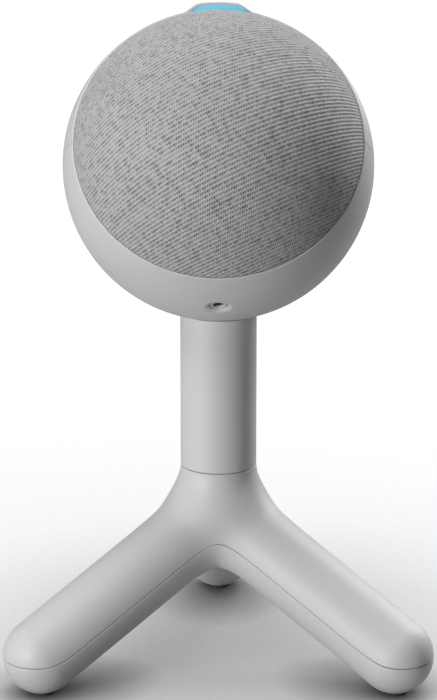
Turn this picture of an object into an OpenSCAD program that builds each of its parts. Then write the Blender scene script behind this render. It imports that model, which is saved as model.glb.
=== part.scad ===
// Table-top smart speaker: a fabric-faced ball that tilts in a magnetic cup,
// on a column that turns on a three-legged stand.
// Millimetres, +Z up, front towards -Y. The origin is on the table, at the
// centre of the whole object's footprint box.
//
// Two frames are used. The stand frame stands on the column's axis. The head
// frame has its origin at the ball's centre, +Z out through the middle of the
// fabric, +X to the object's right side as seen from the front, +Y over the crown.

/* [Ball] */
// Radius of the ball
ball_r = 50; // [46:0.5:60]
// Wall thickness of the two rear shells
shell_wall = 2.4; // [1.8:0.1:3]
// Angle from the middle of the fabric to its edge, in degrees
fabric_angle = 67.1; // [62:0.1:70]
// Height of the fabric's axis above the horizon at rest, in degrees
head_tilt = 33.8; // [26:0.1:42]
// Thickness of the knitted cover
fabric_t = 0.8; // [0.5:0.1:1.2]
// Thickness of the plastic dome under the fabric
grille_t = 1.6; // [1.2:0.1:2.4]
// How deep the fabric lies below the ball's surface
fabric_step = 0.3; // [0.1:0.1:0.8]

/* [Crown light] */
// Half the width of the light window
light_half_w = 8.7; // [6:0.1:11]
// Height of the brow above the edge of the shell
brow_h = 2.4; // [1.6:0.1:3.5]
// Thickness of the brow's lip above the light
brow_lip = 0.8; // [0.6:0.1:1.2]

/* [Sockets] */
// Angle from the middle of the fabric down to the audio socket, in degrees
aux_angle = 85.5; // [80:0.5:88]
// Radius of the audio socket's hole
aux_hole_r = 1.8; // [1.3:0.05:3.2]
// Depth that the audio plug goes in
aux_depth = 14; // [12:0.5:16]

/* [Buttons] */
// Radius of each button's cap
button_r = 4.2; // [3:0.1:5]
// Distance from one button to the next
button_pitch = 14; // [12.5:0.5:16]
// Travel of a button
button_travel = 0.5; // [0.2:0.05:0.5]
// Angle from the middle of the fabric back to the buttons, in degrees
button_angle = 108; // [104:1:116]

/* [Speaker driver] */
// Outer radius of the driver's flange
driver_r = 29; // [26:0.5:32]
// Travel of the cone each way
cone_travel = 1.5; // [0.5:0.1:2]
// Outer radius of the ring magnet
magnet_r = 17.5; // [14:0.5:19]
// Radius of the voice coil's former
coil_r = 8; // [6:0.25:9]

/* [Column] */
// Radius of the column
column_r = 12.5; // [11:0.25:15]
// Wall thickness of the column
column_wall = 2.6; // [2:0.1:3.4]
// Length of the column from the swivel joint to its upper edge
column_len = 51.2; // [40:0.1:90]
// Radius of the swivel spindle
spindle_r = 4; // [3:0.25:5]

/* [Stand] */
// Radius of the legs
leg_r = 12.5; // [11:0.25:15]
// Wall thickness of the stand's shells
leg_wall = 2.4; // [1.8:0.1:3]
// Distance from the column's axis to the centre of each foot
foot_reach = 66.3; // [58:0.1:90]
// Slope of the legs below the horizon, in degrees
leg_slope = 30; // [25:1:36]
// Radius of each rubber foot pad
pad_r = 4; // [3:0.25:6]

/* [Hidden] */

$fn = 96;
eps = 0.05;          // how far a cutting tool runs past the face it cuts
far = 300;           // half the size of a box that stands for a half-space
joint_gap = 0.3;     // gap between the column and the stand
fit_gap = 0.25;      // gap round a piece that is dropped into a pocket
part_line = 0.2;     // width of a visible parting line between two shells

// Stand
legs = [90, 210, 330];                       // direction of each leg in plan
pad_proud = 0.25;                            // how far a pad stands below its foot
pad_t = 2.2;                                 // thickness of a pad
foot_z = leg_r + pad_proud;                  // height of a foot's centre
hub_z = foot_z + foot_reach * tan(leg_slope);
leg_len = foot_reach / cos(leg_slope);       // from the hub's centre to a foot's centre
bend = 90 - leg_slope;                       // angle that a leg turns through from the column
blend_r = 16;                                // inside radius of that turn
bend_r = leg_r + blend_r;                    // radius of the turn's centre line
bend_tan = bend_r * tan(bend / 2);
seam_z = hub_z + bend_tan;                   // height of the stand's top face
leg_inner_r = leg_r - leg_wall;
split_up = 0;                                // parting plane's height above a leg's axis
screw_s = 24;                                // distance of the cover screws from the axis
boss_r = 3.6;
weight_r = leg_inner_r - fit_gap;
weight_from = 39;                            // along a leg, from the hub's centre
weight_to = leg_len - 7;
neck_t = 12;                                 // solid material under the stand's top face
flare_r = column_r + 0.42 * blend_r;         // widest radius of the hub
crotch_z = hub_z - leg_r;                    // underside of the hub
hub_round = 7;                               // rounding of the hub's lower edge
foot_floor = pad_t + 2;                      // inside floor of a hollow foot
screw_seat = 28 / 51 * hub_z;                // height of the cover screws' heads

// Swivel
washer_t = 0.8;
washer_sunk = washer_t - joint_gap;
column_z = seam_z + joint_gap;               // height of the column's lower end
bore_gap = 0.05;                             // running clearance on the spindle
bush_h = 16;
spring_washer_t = 1;
nut_h = 5;
nut_af = 13;                                 // across the nut's flats
column_inner_r = column_r - column_wall;

// Ball seat
seat_gap = 0.4;                              // between the ball and the column
ring_gap = 0.2;                              // between the ball and the rubber ring
column_top = column_z + column_len;
ball_z = column_top + sqrt(pow(ball_r + seat_gap, 2) - pow(column_r, 2));
holder_h = 12;
seat_magnet_r = 6;
seat_magnet_h = 5;
ring_out = 9;
ring_in = 7;

// Head
axis_y = -(foot_reach + leg_r - max(ball_r, foot_reach * sin(30) + leg_r)) / 2;
ball_ri = ball_r - shell_wall;
rim_z = ball_r * cos(fabric_angle);
rim_r = ball_r * sin(fabric_angle);
fabric_r = ball_r - fabric_step;
grille_r = fabric_r - fabric_t - 0.05;
grille_ri = grille_r - grille_t;
edge_gap = 0.15;                             // between the fabric's edge and the shell
brow_shift = brow_h * 3;                     // forward shift of the brow's sphere
brow_len = 16;

// Front frame and driver, measured back from the rim
baffle_t = 4;
baffle_r = sqrt(pow(ball_ri, 2) - pow(rim_z, 2)) - 0.4;
flange_t = 1.6;
gasket_t = 0.4;
baffle_screw_r = baffle_r - 4.5;
baffle_boss_h = 12;
driver_hole_r = driver_r - 4;
driver_screw_r = driver_r - 2.2;
basket_depth = 18;
top_plate_t = 3;
magnet_t = 8;
yoke_t = 3;
cone_out_r = driver_r - 10.6;
cone_top = 3.5;
cone_bottom = 14.6;
coil_t = 0.6;
chamber_r = driver_r - 1;
chamber_wall = 2;
chamber_depth = basket_depth + top_plate_t + magnet_t + yoke_t + 3.5;
board_gap = 3.4;
board_t = 1.6;
board_r = 34;
board_screw_r = 29;
board_z = rim_z - baffle_t - chamber_depth - board_gap;   // front face of the main board
can_h = 3;

// Sockets
aux_barrel_r = aux_hole_r + 0.9;
aux_bore_r = aux_barrel_r + 0.3;
aux_chamfer = 0.8;                           // depth of the shallow dish round the socket
aux_dish = 2.1;                              // width of its slope
aux_sunk = 0.85;
usb_y = -9;                                  // below the parting line of the shells
usb_w = 8.9;
usb_h = 3.2;
usb_deep = 7.4;
usb_floor = -(ball_r - 1.8);                 // floor of the recess round the inlet
usb_pad = 2.2;                               // wall behind that floor

// Buttons
button_flange_r = button_r + 1;
button_gap = 0.3;
switch_h = 3.1;
button_board_z = ball_r - 14;
stem_bottom = button_board_z + switch_h + 0.6 + button_travel + 0.15;
button_posts = [[-button_pitch / 2, 7], [button_pitch / 2, -7]];

// ---------------------------------------------------------------- helpers

module on_axis() { translate([0, axis_y, 0]) children(); }
module in_head() { translate([0, axis_y, ball_z]) rotate([90 - head_tilt, 0, 0]) children(); }
module towards_chin(angle) { rotate([angle, 0, 0]) children(); }
module towards_crown(angle) { rotate([-angle, 0, 0]) children(); }

module ring(r, inner, h) {
    difference() {
        cylinder(r = r, h = h);
        translate([0, 0, -eps]) cylinder(r = inner, h = h + 2 * eps);
    }
}

module slab(x, y, z, h) { translate([-x / 2, -y / 2, z]) cube([x, y, h]); }

// The part of a ball shell between two heights.
module ball_zone(outer, inner, low, high) {
    difference() {
        intersection() {
            sphere(r = outer);
            translate([0, 0, low]) cylinder(r = outer + 1, h = high - low);
        }
        sphere(r = inner);
    }
}

// Everything above (side 1) or below (side -1) the shells' parting plane.
module half_space(side) {
    translate([-far, side > 0 ? part_line / 2 : -far - part_line / 2, -far])
        cube([2 * far, far, 2 * far]);
}

module screw(shank_r, shank_h, head_r, head_h) {
    cylinder(r = head_r, h = head_h);
    translate([0, 0, -shank_h]) cylinder(r = shank_r, h = shank_h + eps);
}

// ---------------------------------------------------------------- stand

// One leg along +X, from the hub's centre to its rounded foot.
module leg_form(r) {
    translate([0, 0, hub_z]) rotate([0, 90 + leg_slope, 0])
        rotate_extrude() intersection() {
            union() {
                square([r, leg_len]);
                translate([0, leg_len]) circle(r = r);
            }
            square([r, leg_len + r]);
        }
}

// The flared middle that the legs grow out of.
module hub_form() {
    rotate_extrude() difference() {
        union() {
            translate([0, crotch_z + hub_round]) square([flare_r, seam_z - crotch_z - hub_round]);
            translate([0, crotch_z]) square([flare_r - hub_round, hub_round + 1]);
            translate([flare_r - hub_round, crotch_z + hub_round]) circle(r = hub_round);
        }
        translate([column_r + blend_r, seam_z]) circle(r = blend_r);
    }
}

// The space under the parting surface of one leg, pointing along +X.
module under_leg(lift) {
    arc_r = 15;
    flat_z = foot_z + 0.4 + lift;
    line_z = hub_z + split_up / cos(leg_slope) + lift;
    corner_s = (line_z - flat_z) / tan(leg_slope);
    arc_s = corner_s + arc_r * tan(leg_slope / 2);
    rotate([90, 0, 0]) linear_extrude(height = 2 * far, center = true)
        polygon(concat(
            [[-far, -1], [-far, line_z + far * tan(leg_slope)]],
            [for (i = [0:4]) let (a = -leg_slope * (5 - i) / 5)
                [arc_s + arc_r * sin(a), flat_z + arc_r * (1 - cos(a))]],
            [[arc_s, flat_z], [far, flat_z], [far, -1]]));
}

module under_split(lift) {
    intersection() {
        rotate([0, 0, legs[0]]) under_leg(lift);
        rotate([0, 0, legs[1]]) under_leg(lift);
        rotate([0, 0, legs[2]]) under_leg(lift);
    }
}

module tripod_walls() {
    difference() {
        union() {
            for (a = legs) rotate([0, 0, a]) leg_form(leg_r);
            hub_form();
        }
        intersection() {
            union() {
                for (a = legs) rotate([0, 0, a]) leg_form(leg_r - leg_wall);
                translate([0, 0, crotch_z + leg_wall + 2])
                    cylinder(r = column_r - 0.5, h = seam_z);
            }
            translate([-far, -far, foot_floor]) cube([2 * far, 2 * far, seam_z - neck_t - foot_floor]);
        }
    }
    for (a = legs)
        rotate([0, 0, a]) intersection() {
            leg_form(leg_r - leg_wall / 2);
            translate([screw_s, 0, 0]) cylinder(r = boss_r, h = seam_z);
        }
}

module tripod_shell() {
    color("silver") on_axis() difference() {
        tripod_walls();
        under_split(part_line / 2);
        translate([0, 0, seam_z - neck_t - 1]) cylinder(r = spindle_r + bore_gap, h = neck_t + 2);
        translate([0, 0, seam_z - washer_sunk]) cylinder(r = 9 + fit_gap, h = 2);
        for (a = legs)
            rotate([0, 0, a]) translate([screw_s, 0, 0]) cylinder(r = 1.5 + bore_gap, h = screw_seat + 17);
    }
}

module tripod_cover() {
    color("silver") on_axis() difference() {
        intersection() {
            tripod_walls();
            under_split(-part_line / 2);
        }
        for (a = legs) rotate([0, 0, a]) {
            translate([screw_s, 0, 0]) cylinder(r = 1.7, h = seam_z);
            translate([screw_s, 0, 0]) cylinder(r = 3, h = screw_seat);
            translate([foot_reach, 0, -1]) cylinder(r = pad_r + fit_gap, h = pad_t + 1);
        }
    }
}

module foot_pad(a) {
    color("dimgray") on_axis() rotate([0, 0, a]) translate([foot_reach, 0, 0])
        cylinder(r = pad_r, h = pad_t);
}
module foot_pad_rear() { foot_pad(legs[0]); }
module foot_pad_left() { foot_pad(legs[1]); }
module foot_pad_right() { foot_pad(legs[2]); }

// A cast bar that lies in the lower half of a leg.
module leg_weight(a) {
    color("gray") on_axis() rotate([0, 0, a]) translate([0, 0, hub_z])
        rotate([0, 90 + leg_slope, 0]) translate([0, 0, weight_from])
            cylinder(r = weight_r, h = weight_to - weight_from);
}
module leg_weight_rear() { leg_weight(legs[0]); }
module leg_weight_left() { leg_weight(legs[1]); }
module leg_weight_right() { leg_weight(legs[2]); }

module base_screws() {
    color("lightsteelblue") on_axis() for (a = legs)
        rotate([0, 0, a]) translate([screw_s, 0, screw_seat - 2]) {
            cylinder(r = 2.8, h = 2);
            cylinder(r = 1.5, h = 18);
        }
}

// ---------------------------------------------------------------- swivel and column

bush_r = spindle_r + 2.5;
bush_top = column_z + bush_h;
nut_z = bush_top + spring_washer_t;

module swivel_spindle() {
    color("lightsteelblue") on_axis() difference() {
        union() {
            translate([0, 0, seam_z - neck_t - 3]) cylinder(r = spindle_r + 3, h = 3);
            translate([0, 0, seam_z - neck_t - 1]) cylinder(r = spindle_r, h = nut_z + nut_h + 1.5 - seam_z + neck_t + 1);
        }
        translate([0, 0, seam_z - neck_t - 4]) cylinder(r = 2.9, h = 4, $fn = 6);
    }
}

module spindle_nut() {
    color("lightsteelblue") on_axis() translate([0, 0, nut_z]) difference() {
        cylinder(r = nut_af / sqrt(3), h = nut_h, $fn = 6);
        translate([0, 0, -1]) cylinder(r = spindle_r + 0.02, h = nut_h + 2);
    }
}

module friction_washer() {
    color("ivory") on_axis() translate([0, 0, seam_z - washer_sunk])
        ring(9, spindle_r + 0.3, washer_t);
}

module column_tube() {
    color("silver") on_axis() difference() {
        translate([0, 0, column_z]) cylinder(r = column_r, h = column_len + 2);
        translate([0, 0, bush_top]) cylinder(r = column_inner_r, h = column_len);
        translate([0, 0, column_z - 1]) cylinder(r = bush_r + 0.02, h = bush_h + 2);
        translate([0, 0, ball_z]) sphere(r = ball_r + seat_gap);
    }
}

module swivel_bush() {
    color("ivory") on_axis() translate([0, 0, column_z]) ring(bush_r, spindle_r + bore_gap, bush_h);
}

module spring_washer() {
    color("lightsteelblue") on_axis() translate([0, 0, bush_top])
        ring(bush_r, spindle_r + 0.3, spring_washer_t);
}

seat_low = ball_z - ball_r - seat_gap;       // lowest point of the ball seat

module magnet_holder() {
    color("dimgray") on_axis() difference() {
        translate([0, 0, seat_low - holder_h]) cylinder(r = column_inner_r - 0.05, h = holder_h + 3);
        translate([0, 0, seat_low - seat_magnet_h - 0.6]) cylinder(r = seat_magnet_r + 0.05, h = 20);
        translate([0, 0, seat_low - 1]) ring(ring_out + 0.1, ring_in - 0.1, 9);
        translate([0, 0, ball_z]) sphere(r = ball_r + seat_gap);
        translate([0, 0, seat_low - holder_h - 1]) cylinder(r = 3, h = holder_h);
    }
}

module seat_magnet() {
    color("lightsteelblue") on_axis() translate([0, 0, seat_low - seat_magnet_h - 0.6])
        cylinder(r = seat_magnet_r, h = seat_magnet_h);
}

module seat_ring() {
    color("dimgray") on_axis() difference() {
        translate([0, 0, seat_low - 1]) ring(ring_out, ring_in, 5);
        translate([0, 0, ball_z]) sphere(r = ball_r + ring_gap);
    }
}

// ---------------------------------------------------------------- ball shells

module fabric_cover() {
    color("gainsboro") in_head() ball_zone(fabric_r, fabric_r - fabric_t, rim_z + edge_gap, ball_r + 1);
}

module grille_dome() {
    color("darkgray") in_head() difference() {
        ball_zone(grille_r, grille_ri, rim_z + edge_gap, ball_r + 1);
        for (k = [1:4], i = [0:6 * k - 1])
            rotate([0, 0, 11 + i * 60 / k]) translate([8 * k, 0, 0]) cylinder(r = 1.6, h = 2 * ball_r);
    }
}

screw_angles = [50, 130, 230, 310];

module baffle() {
    color("dimgray") in_head() difference() {
        translate([0, 0, rim_z - baffle_t]) cylinder(r = baffle_r, h = baffle_t);
        translate([0, 0, rim_z - baffle_t - 1]) cylinder(r = driver_hole_r, h = baffle_t + 2);
        for (a = screw_angles) rotate([0, 0, a]) translate([baffle_screw_r, 0, rim_z - baffle_t - 1]) {
            cylinder(r = 1.6, h = baffle_t + 2);
            translate([0, 0, baffle_t - 1]) cylinder(r = 3, h = 3);
        }
        for (a = [45:90:315]) rotate([0, 0, a]) translate([driver_screw_r, 0, rim_z - 3.2])
            cylinder(r = 1.05, h = 4);
    }
}

// A pillar that one baffle screw runs into, tied to the shell by a rib.
module shell_pillar(a) {
    intersection() {
        rotate([0, 0, a]) translate([0, 0, rim_z - baffle_t - baffle_boss_h]) {
            translate([baffle_screw_r, 0, 0]) cylinder(r = 3.2, h = baffle_boss_h);
            translate([baffle_screw_r, -1.2, 0]) cube([12, 2.4, baffle_boss_h]);
        }
        sphere(r = ball_r - shell_wall / 2);
    }
}

module shell_half(side) {
    intersection() {
        ball_zone(ball_r, ball_ri, -ball_r - 1, rim_z);
        half_space(side);
    }
    for (a = side > 0 ? [50, 130] : [230, 310]) shell_pillar(a);
}

module pillar_holes(side) {
    for (a = side > 0 ? [50, 130] : [230, 310])
        rotate([0, 0, a]) translate([baffle_screw_r, 0, rim_z - baffle_t - 9])
            cylinder(r = 1.25, h = 10);
}

// The brow over the light: a ball slid forward, cut to a flared outline.
module brow_form() {
    flank = 5.2;
    difference() {
        intersection() {
            translate([0, 0, brow_shift]) sphere(r = ball_r);
            translate([0, 0, brow_shift / 2 + 0.5]) linear_extrude(height = rim_z - brow_shift / 2 - 0.5)
                difference() {
                    translate([-light_half_w - 3.4, rim_r - 4.5]) square([2 * light_half_w + 6.8, brow_h + 8]);
                    for (side = [-1, 1])
                        translate([side * (light_half_w + 3.8), rim_r + brow_h + 1.3]) circle(r = flank);
                }
        }
        sphere(r = ball_ri + 0.4);
    }
}

// The block that the light's lens fills, with a gap all round it.
module lens_form(gap) {
    intersection() {
        translate([0, 0, brow_shift]) sphere(r = ball_r - brow_lip + gap);
        translate([-light_half_w - gap, baffle_r + 0.5 - gap, rim_z - 8 - gap])
            cube([2 * (light_half_w + gap), 20, 8 + 2 * gap]);
    }
}

module upper_shell() {
    color("silver") in_head() difference() {
        union() {
            shell_half(1);
            brow_form();
        }
        pillar_holes(1);
        lens_form(0.05);
        towards_crown(button_angle) {
            for (i = [-1:1]) translate([i * button_pitch, 0, ball_r / 2])
                cylinder(r = button_r + button_gap, h = ball_r);
            for (side = [-1, 1]) translate([side * button_pitch / 2, 0, ball_r / 2])
                cylinder(r = 0.6, h = ball_r);
        }
    }
}

aux_out = ball_r - aux_sunk;                 // outer end of the socket's barrel
aux_body_out = ball_ri - 1.2;                // outer end of the socket's block

module lower_shell() {
    color("silver") in_head() difference() {
        union() {
            shell_half(-1);
            intersection() {
                sphere(r = ball_r - shell_wall / 2);
                translate([0, usb_y, usb_floor]) cylinder(r = 8.4, h = usb_pad);
            }
        }
        pillar_holes(-1);
        towards_chin(aux_angle) {
            cylinder(r = aux_bore_r, h = 2 * ball_r);
            translate([0, 0, ball_r - aux_chamfer])
                cylinder(r1 = aux_bore_r, r2 = aux_bore_r + 2 * aux_dish, h = 2 * aux_chamfer);
        }
        translate([0, usb_y, usb_floor - 5]) cylinder(r = 7, h = 5);
        translate([0, usb_y, usb_floor - 1]) slab(usb_w + 0.2, usb_h + 0.2, 0, usb_pad + 2);
    }
}

keeper_from = 102;                           // angles from the fabric's middle down to the keeper
keeper_to = 151;

module keeper_plate() {
    color("lightsteelblue") in_head() towards_chin((keeper_from + keeper_to) / 2) intersection() {
        difference() {
            sphere(r = ball_ri - 0.1);
            sphere(r = ball_ri - 1.9);
        }
        cylinder(r = ball_ri * sin((keeper_to - keeper_from) / 2), h = ball_r);
    }
}

// ---------------------------------------------------------------- crown light

light_y = baffle_r - 1;
light_z = rim_z - 8 - 2.2;                   // front face of the light board

module light_lens() {
    color("paleturquoise") in_head() lens_form(0);
}

module light_board() {
    color("seagreen") in_head() translate([-10, light_y - 5, light_z - 1.2]) cube([20, 7, 1.2]);
}

module light_leds() {
    color("white") in_head() for (i = [-1:1])
        translate([i * 6 - 1.5, light_y + 0.2 - 0.5, light_z]) cube([3, 2, 1.4]);
}

// ---------------------------------------------------------------- buttons

function flange_top(x) = sqrt(pow(ball_ri, 2) - pow(abs(x) + button_flange_r, 2)) - 0.3;

module button(x) {
    color("silver") in_head() towards_crown(button_angle) translate([x, 0, 0]) {
        intersection() {
            cylinder(r = button_r, h = ball_r + 5);
            translate([-x, 0, 0]) sphere(r = ball_r + button_travel + 0.3);
            translate([-button_r - 1, -button_r - 1, flange_top(x) - 1.2]) cube([2 * button_r + 2, 2 * button_r + 2, 40]);
        }
        translate([0, 0, flange_top(x) - 1.2]) cylinder(r = button_flange_r, h = 1.2);
        translate([0, 0, stem_bottom]) cylinder(r = 1.6, h = flange_top(x) - 1 - stem_bottom);
    }
}
module action_button() { button(0); }
module volume_down_button() { button(-button_pitch); }
module volume_up_button() { button(button_pitch); }

board_half = button_pitch + 4.5;

module button_board() {
    color("seagreen") in_head() towards_crown(button_angle)
        translate([-board_half, -7, button_board_z - 1.2]) cube([2 * board_half, 14, 1.2]);
}

module button_switches() {
    color("black") in_head() towards_crown(button_angle) for (i = [-1:1])
        translate([i * button_pitch, 0, button_board_z]) {
            slab(6, 6, 0, switch_h);
            cylinder(r = 1.7, h = switch_h + 0.6);
        }
}

module microphones() {
    color("gold") in_head() towards_crown(button_angle) for (side = [-1, 1])
        translate([side * button_pitch / 2, 0, button_board_z]) slab(3, 4, 0, 1.1);
}

// ---------------------------------------------------------------- speaker driver

module in_driver() { in_head() translate([0, 0, rim_z + gasket_t]) children(); }
gap_in = coil_r - 0.35;
gap_out = coil_r + coil_t + 0.35;

module driver_basket() {
    color("dimgray") in_driver() difference() {
        rotate_extrude() polygon([
            [cone_out_r + 4.4, 0], [driver_r, 0], [driver_r, flange_t], [cone_out_r + 4.2, flange_t],
            [cone_out_r + 2.4, -1], [magnet_r - 4, -basket_depth + 2], [gap_out + 0.8, -basket_depth + 2],
            [gap_out + 0.8, -basket_depth], [magnet_r - 0.5, -basket_depth],
            [magnet_r - 1.5, -basket_depth + 3], [driver_hole_r - 0.9, -1], [driver_hole_r - 0.9, 0]]);
        for (a = [0:60:300]) rotate([0, 0, a + 15]) translate([magnet_r - 3, -4, -basket_depth + 4])
            cube([20, 8, basket_depth - 7]);
        for (a = [45:90:315]) rotate([0, 0, a]) translate([driver_screw_r, 0, -1])
            cylinder(r = 1.35, h = 4);
    }
}

module driver_gasket() {
    color("black") in_head() translate([0, 0, rim_z]) difference() {
        ring(driver_r, driver_hole_r, gasket_t);
        for (a = [45:90:315]) rotate([0, 0, a]) translate([driver_screw_r, 0, -1]) cylinder(r = 1.35, h = 4);
    }
}

// A half-roll of rubber that hangs the cone from the flange.
module driver_surround() {
    roll = (driver_screw_r - 2.1 - cone_out_r - 0.4) / 2 - 1;
    mid = cone_out_r + 0.4 + 1 + roll;
    color("black") in_driver() translate([0, 0, flange_t + 0.02]) rotate_extrude() {
        intersection() {
            translate([mid, 0]) difference() { circle(r = roll); circle(r = roll - 0.6); }
            translate([0, 0]) square([100, 20]);
        }
        translate([mid - roll - 1, 0]) square([1.3, 0.6]);
        translate([mid + roll - 0.3, 0]) square([1.3, 0.6]);
    }
}

module driver_spider() {
    color("wheat") in_driver() translate([0, 0, -basket_depth + 2.1])
        ring(magnet_r - 4.3, gap_out + 0.9, 0.5);
}

module driver_top_plate() {
    color("lightsteelblue") in_driver() translate([0, 0, -basket_depth - top_plate_t])
        ring(magnet_r - 1, gap_out, top_plate_t);
}

module driver_magnet() {
    color("dimgray") in_driver() translate([0, 0, -basket_depth - top_plate_t - magnet_t])
        ring(magnet_r, gap_out + 2, magnet_t);
}

module driver_yoke() {
    color("lightsteelblue") in_driver() translate([0, 0, -basket_depth - top_plate_t - magnet_t - yoke_t]) {
        cylinder(r = magnet_r - 1, h = yoke_t);
        cylinder(r = gap_in, h = yoke_t + magnet_t + top_plate_t);
    }
}

// The cone hangs inside the basket and clears it over its travel.
module driver_cone() {
    color("dimgray") in_driver() rotate_extrude() polygon([
        [cone_out_r, flange_t - 0.6], [cone_out_r, flange_t + 0.1], [cone_out_r - 1, flange_t + 0.1],
        [coil_r + coil_t, -cone_bottom + 4.6], [coil_r + coil_t, -cone_bottom + 3.8]]);
}

module dust_cap() {
    cap_r = coil_r + 3;
    ball = 16;
    color("black") in_driver() translate([0, 0, -cone_bottom + 8.2 - sqrt(ball * ball - cap_r * cap_r)])
        difference() {
            intersection() {
                sphere(r = ball);
                translate([-20, -20, sqrt(ball * ball - cap_r * cap_r)]) cube([40, 40, 20]);
            }
            sphere(r = ball - 0.6);
        }
}

module voice_coil() {
    color("peru") in_driver() translate([0, 0, -basket_depth - top_plate_t - 1.2])
        ring(coil_r + coil_t - 0.02, coil_r, basket_depth + top_plate_t + 1.2 - cone_bottom + 4);
}

// ---------------------------------------------------------------- electronics

module back_chamber() {
    color("dimgray") in_head() translate([0, 0, rim_z - baffle_t - chamber_depth]) difference() {
        cylinder(r = chamber_r, h = chamber_depth);
        translate([0, 0, chamber_wall]) cylinder(r = chamber_r - chamber_wall, h = chamber_depth);
    }
}

board_angles = [45, 135, 225, 315];
module main_board() {
    color("seagreen") in_head() difference() {
        translate([0, 0, board_z - board_t]) cylinder(r = board_r, h = board_t);
        for (a = board_angles) rotate([0, 0, a]) translate([board_screw_r - 5, 0, board_z - 5])
            cylinder(r = 1.3, h = 10);
    }
}

module board_parts() {
    color("black") in_head() {
        translate([-13, 11, board_z - board_t - 2.4]) cube([9, 9, 2.4]);
        translate([3, 11, board_z - board_t - 2]) cube([9, 7, 2]);
        translate([1, 24, board_z - board_t - 5]) cylinder(r = 3.5, h = 5);
        translate([-4, -26, board_z - board_t - 2.2]) cube([7, 7, 2.2]);
        translate([-27, -5, board_z - board_t - 3]) cube([6, 8, 3]);
    }
}

module shield_can() {
    color("lightsteelblue") in_head() translate([0, 0, board_z - board_t - can_h]) difference() {
        slab(22, 16, 0, can_h);
        slab(21, 15, 0.5, can_h);
    }
}

module heat_spreader() {
    color("silver") in_head() translate([0, 0, board_z - board_t - can_h - 1.7]) slab(30, 20, 0, 1.5);
}

module antenna() {
    color("peru") in_head() translate([27, -12, board_z - board_t - 7]) cube([0.8, 24, 7]);
}

module aux_socket() {
    color("gray") in_head() towards_chin(aux_angle) difference() {
        union() {
            cylinder(r = aux_barrel_r, h = aux_out);
            translate([0, 0, aux_out - aux_depth - 2]) slab(7.4, 8, 0, aux_body_out - aux_out + aux_depth + 2);
        }
        cylinder(r = aux_barrel_r + 1, h = aux_out - aux_depth - 2);
        translate([0, 0, aux_out - aux_depth]) cylinder(r = aux_hole_r, h = aux_depth + 1);
    }
}

module usb_inlet() {
    color("lightsteelblue") in_head() translate([0, usb_y, usb_floor]) difference() {
        slab(usb_w, usb_h, 0, usb_deep);
        slab(usb_w - 0.6, usb_h - 0.6, -1, usb_deep);
    }
    color("black") in_head() translate([0, usb_y, usb_floor]) slab(6.6, 0.7, 0.8, usb_deep - 0.8);
}

module usb_board() {
    color("seagreen") in_head() translate([-7, usb_y - usb_h / 2 - 1, usb_floor + usb_pad + 0.9])
        cube([14, 0.98, 8]);
}

// ---------------------------------------------------------------- fixings

module baffle_screws() {
    color("lightsteelblue") in_head() for (a = screw_angles)
        rotate([0, 0, a]) translate([baffle_screw_r, 0, rim_z - 2]) screw(1.2, 9, 2.6, 1.6);
}

module driver_screws() {
    color("lightsteelblue") in_head() for (a = [45:90:315])
        rotate([0, 0, a]) translate([driver_screw_r, 0, rim_z + gasket_t + flange_t]) screw(1, 4.6, 1.9, 1.1);
}

module board_screws() {
    color("lightsteelblue") in_head() for (a = board_angles)
        rotate([0, 0, a]) translate([board_screw_r - 5, 0, board_z - board_t]) mirror([0, 0, 1])
            screw(1.2, board_t + board_gap - 0.3, 2.2, 1.2);
}

tripod_shell();
tripod_cover();
foot_pad_rear();
foot_pad_left();
foot_pad_right();
leg_weight_rear();
leg_weight_left();
leg_weight_right();
base_screws();
swivel_spindle();
spindle_nut();
friction_washer();
column_tube();
swivel_bush();
spring_washer();
magnet_holder();
seat_magnet();
seat_ring();
fabric_cover();
grille_dome();
baffle();
upper_shell();
lower_shell();
keeper_plate();
light_lens();
light_board();
light_leds();
microphones();
action_button();
volume_down_button();
volume_up_button();
button_board();
button_switches();
driver_basket();
driver_gasket();
driver_surround();
driver_spider();
driver_top_plate();
driver_magnet();
driver_yoke();
driver_cone();
dust_cap();
voice_coil();
back_chamber();
main_board();
board_parts();
shield_can();
heat_spreader();
antenna();
aux_socket();
usb_inlet();
usb_board();
baffle_screws();
driver_screws();
board_screws();
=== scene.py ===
"""Looks of a ball-shaped table-top smart speaker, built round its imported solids.

The solids carry the joints and the collision. Each class here makes the finish
of one visible piece, in the frame's own axes: +Z up, the fabric front to -Y,
metres. The head's own frame has its origin at the ball's centre and its Z axis
out through the middle of the fabric.
"""

import logging
import math
from dataclasses import dataclass, field
from enum import Enum
from typing import Callable

import bpy
import numpy as np
from mathutils import Matrix, Vector

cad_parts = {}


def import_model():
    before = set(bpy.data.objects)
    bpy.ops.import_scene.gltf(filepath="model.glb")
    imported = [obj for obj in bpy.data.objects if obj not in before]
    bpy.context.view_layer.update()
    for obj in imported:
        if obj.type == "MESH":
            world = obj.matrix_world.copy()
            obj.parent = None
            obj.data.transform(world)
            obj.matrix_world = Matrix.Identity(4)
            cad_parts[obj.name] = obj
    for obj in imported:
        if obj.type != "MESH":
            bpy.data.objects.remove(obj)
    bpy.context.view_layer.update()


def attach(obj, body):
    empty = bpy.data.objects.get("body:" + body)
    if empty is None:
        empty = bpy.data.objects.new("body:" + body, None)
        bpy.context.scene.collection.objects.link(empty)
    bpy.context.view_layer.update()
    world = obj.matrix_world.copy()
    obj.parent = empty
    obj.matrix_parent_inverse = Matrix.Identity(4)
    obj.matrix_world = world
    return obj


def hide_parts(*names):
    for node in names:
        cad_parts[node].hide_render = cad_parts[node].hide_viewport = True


log = logging.getLogger("speaker")
MM = 0.001
TURN = 2 * math.pi
SHARP = math.radians(40)  # a turned profile has a crisp edge where it bends by more than this


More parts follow.
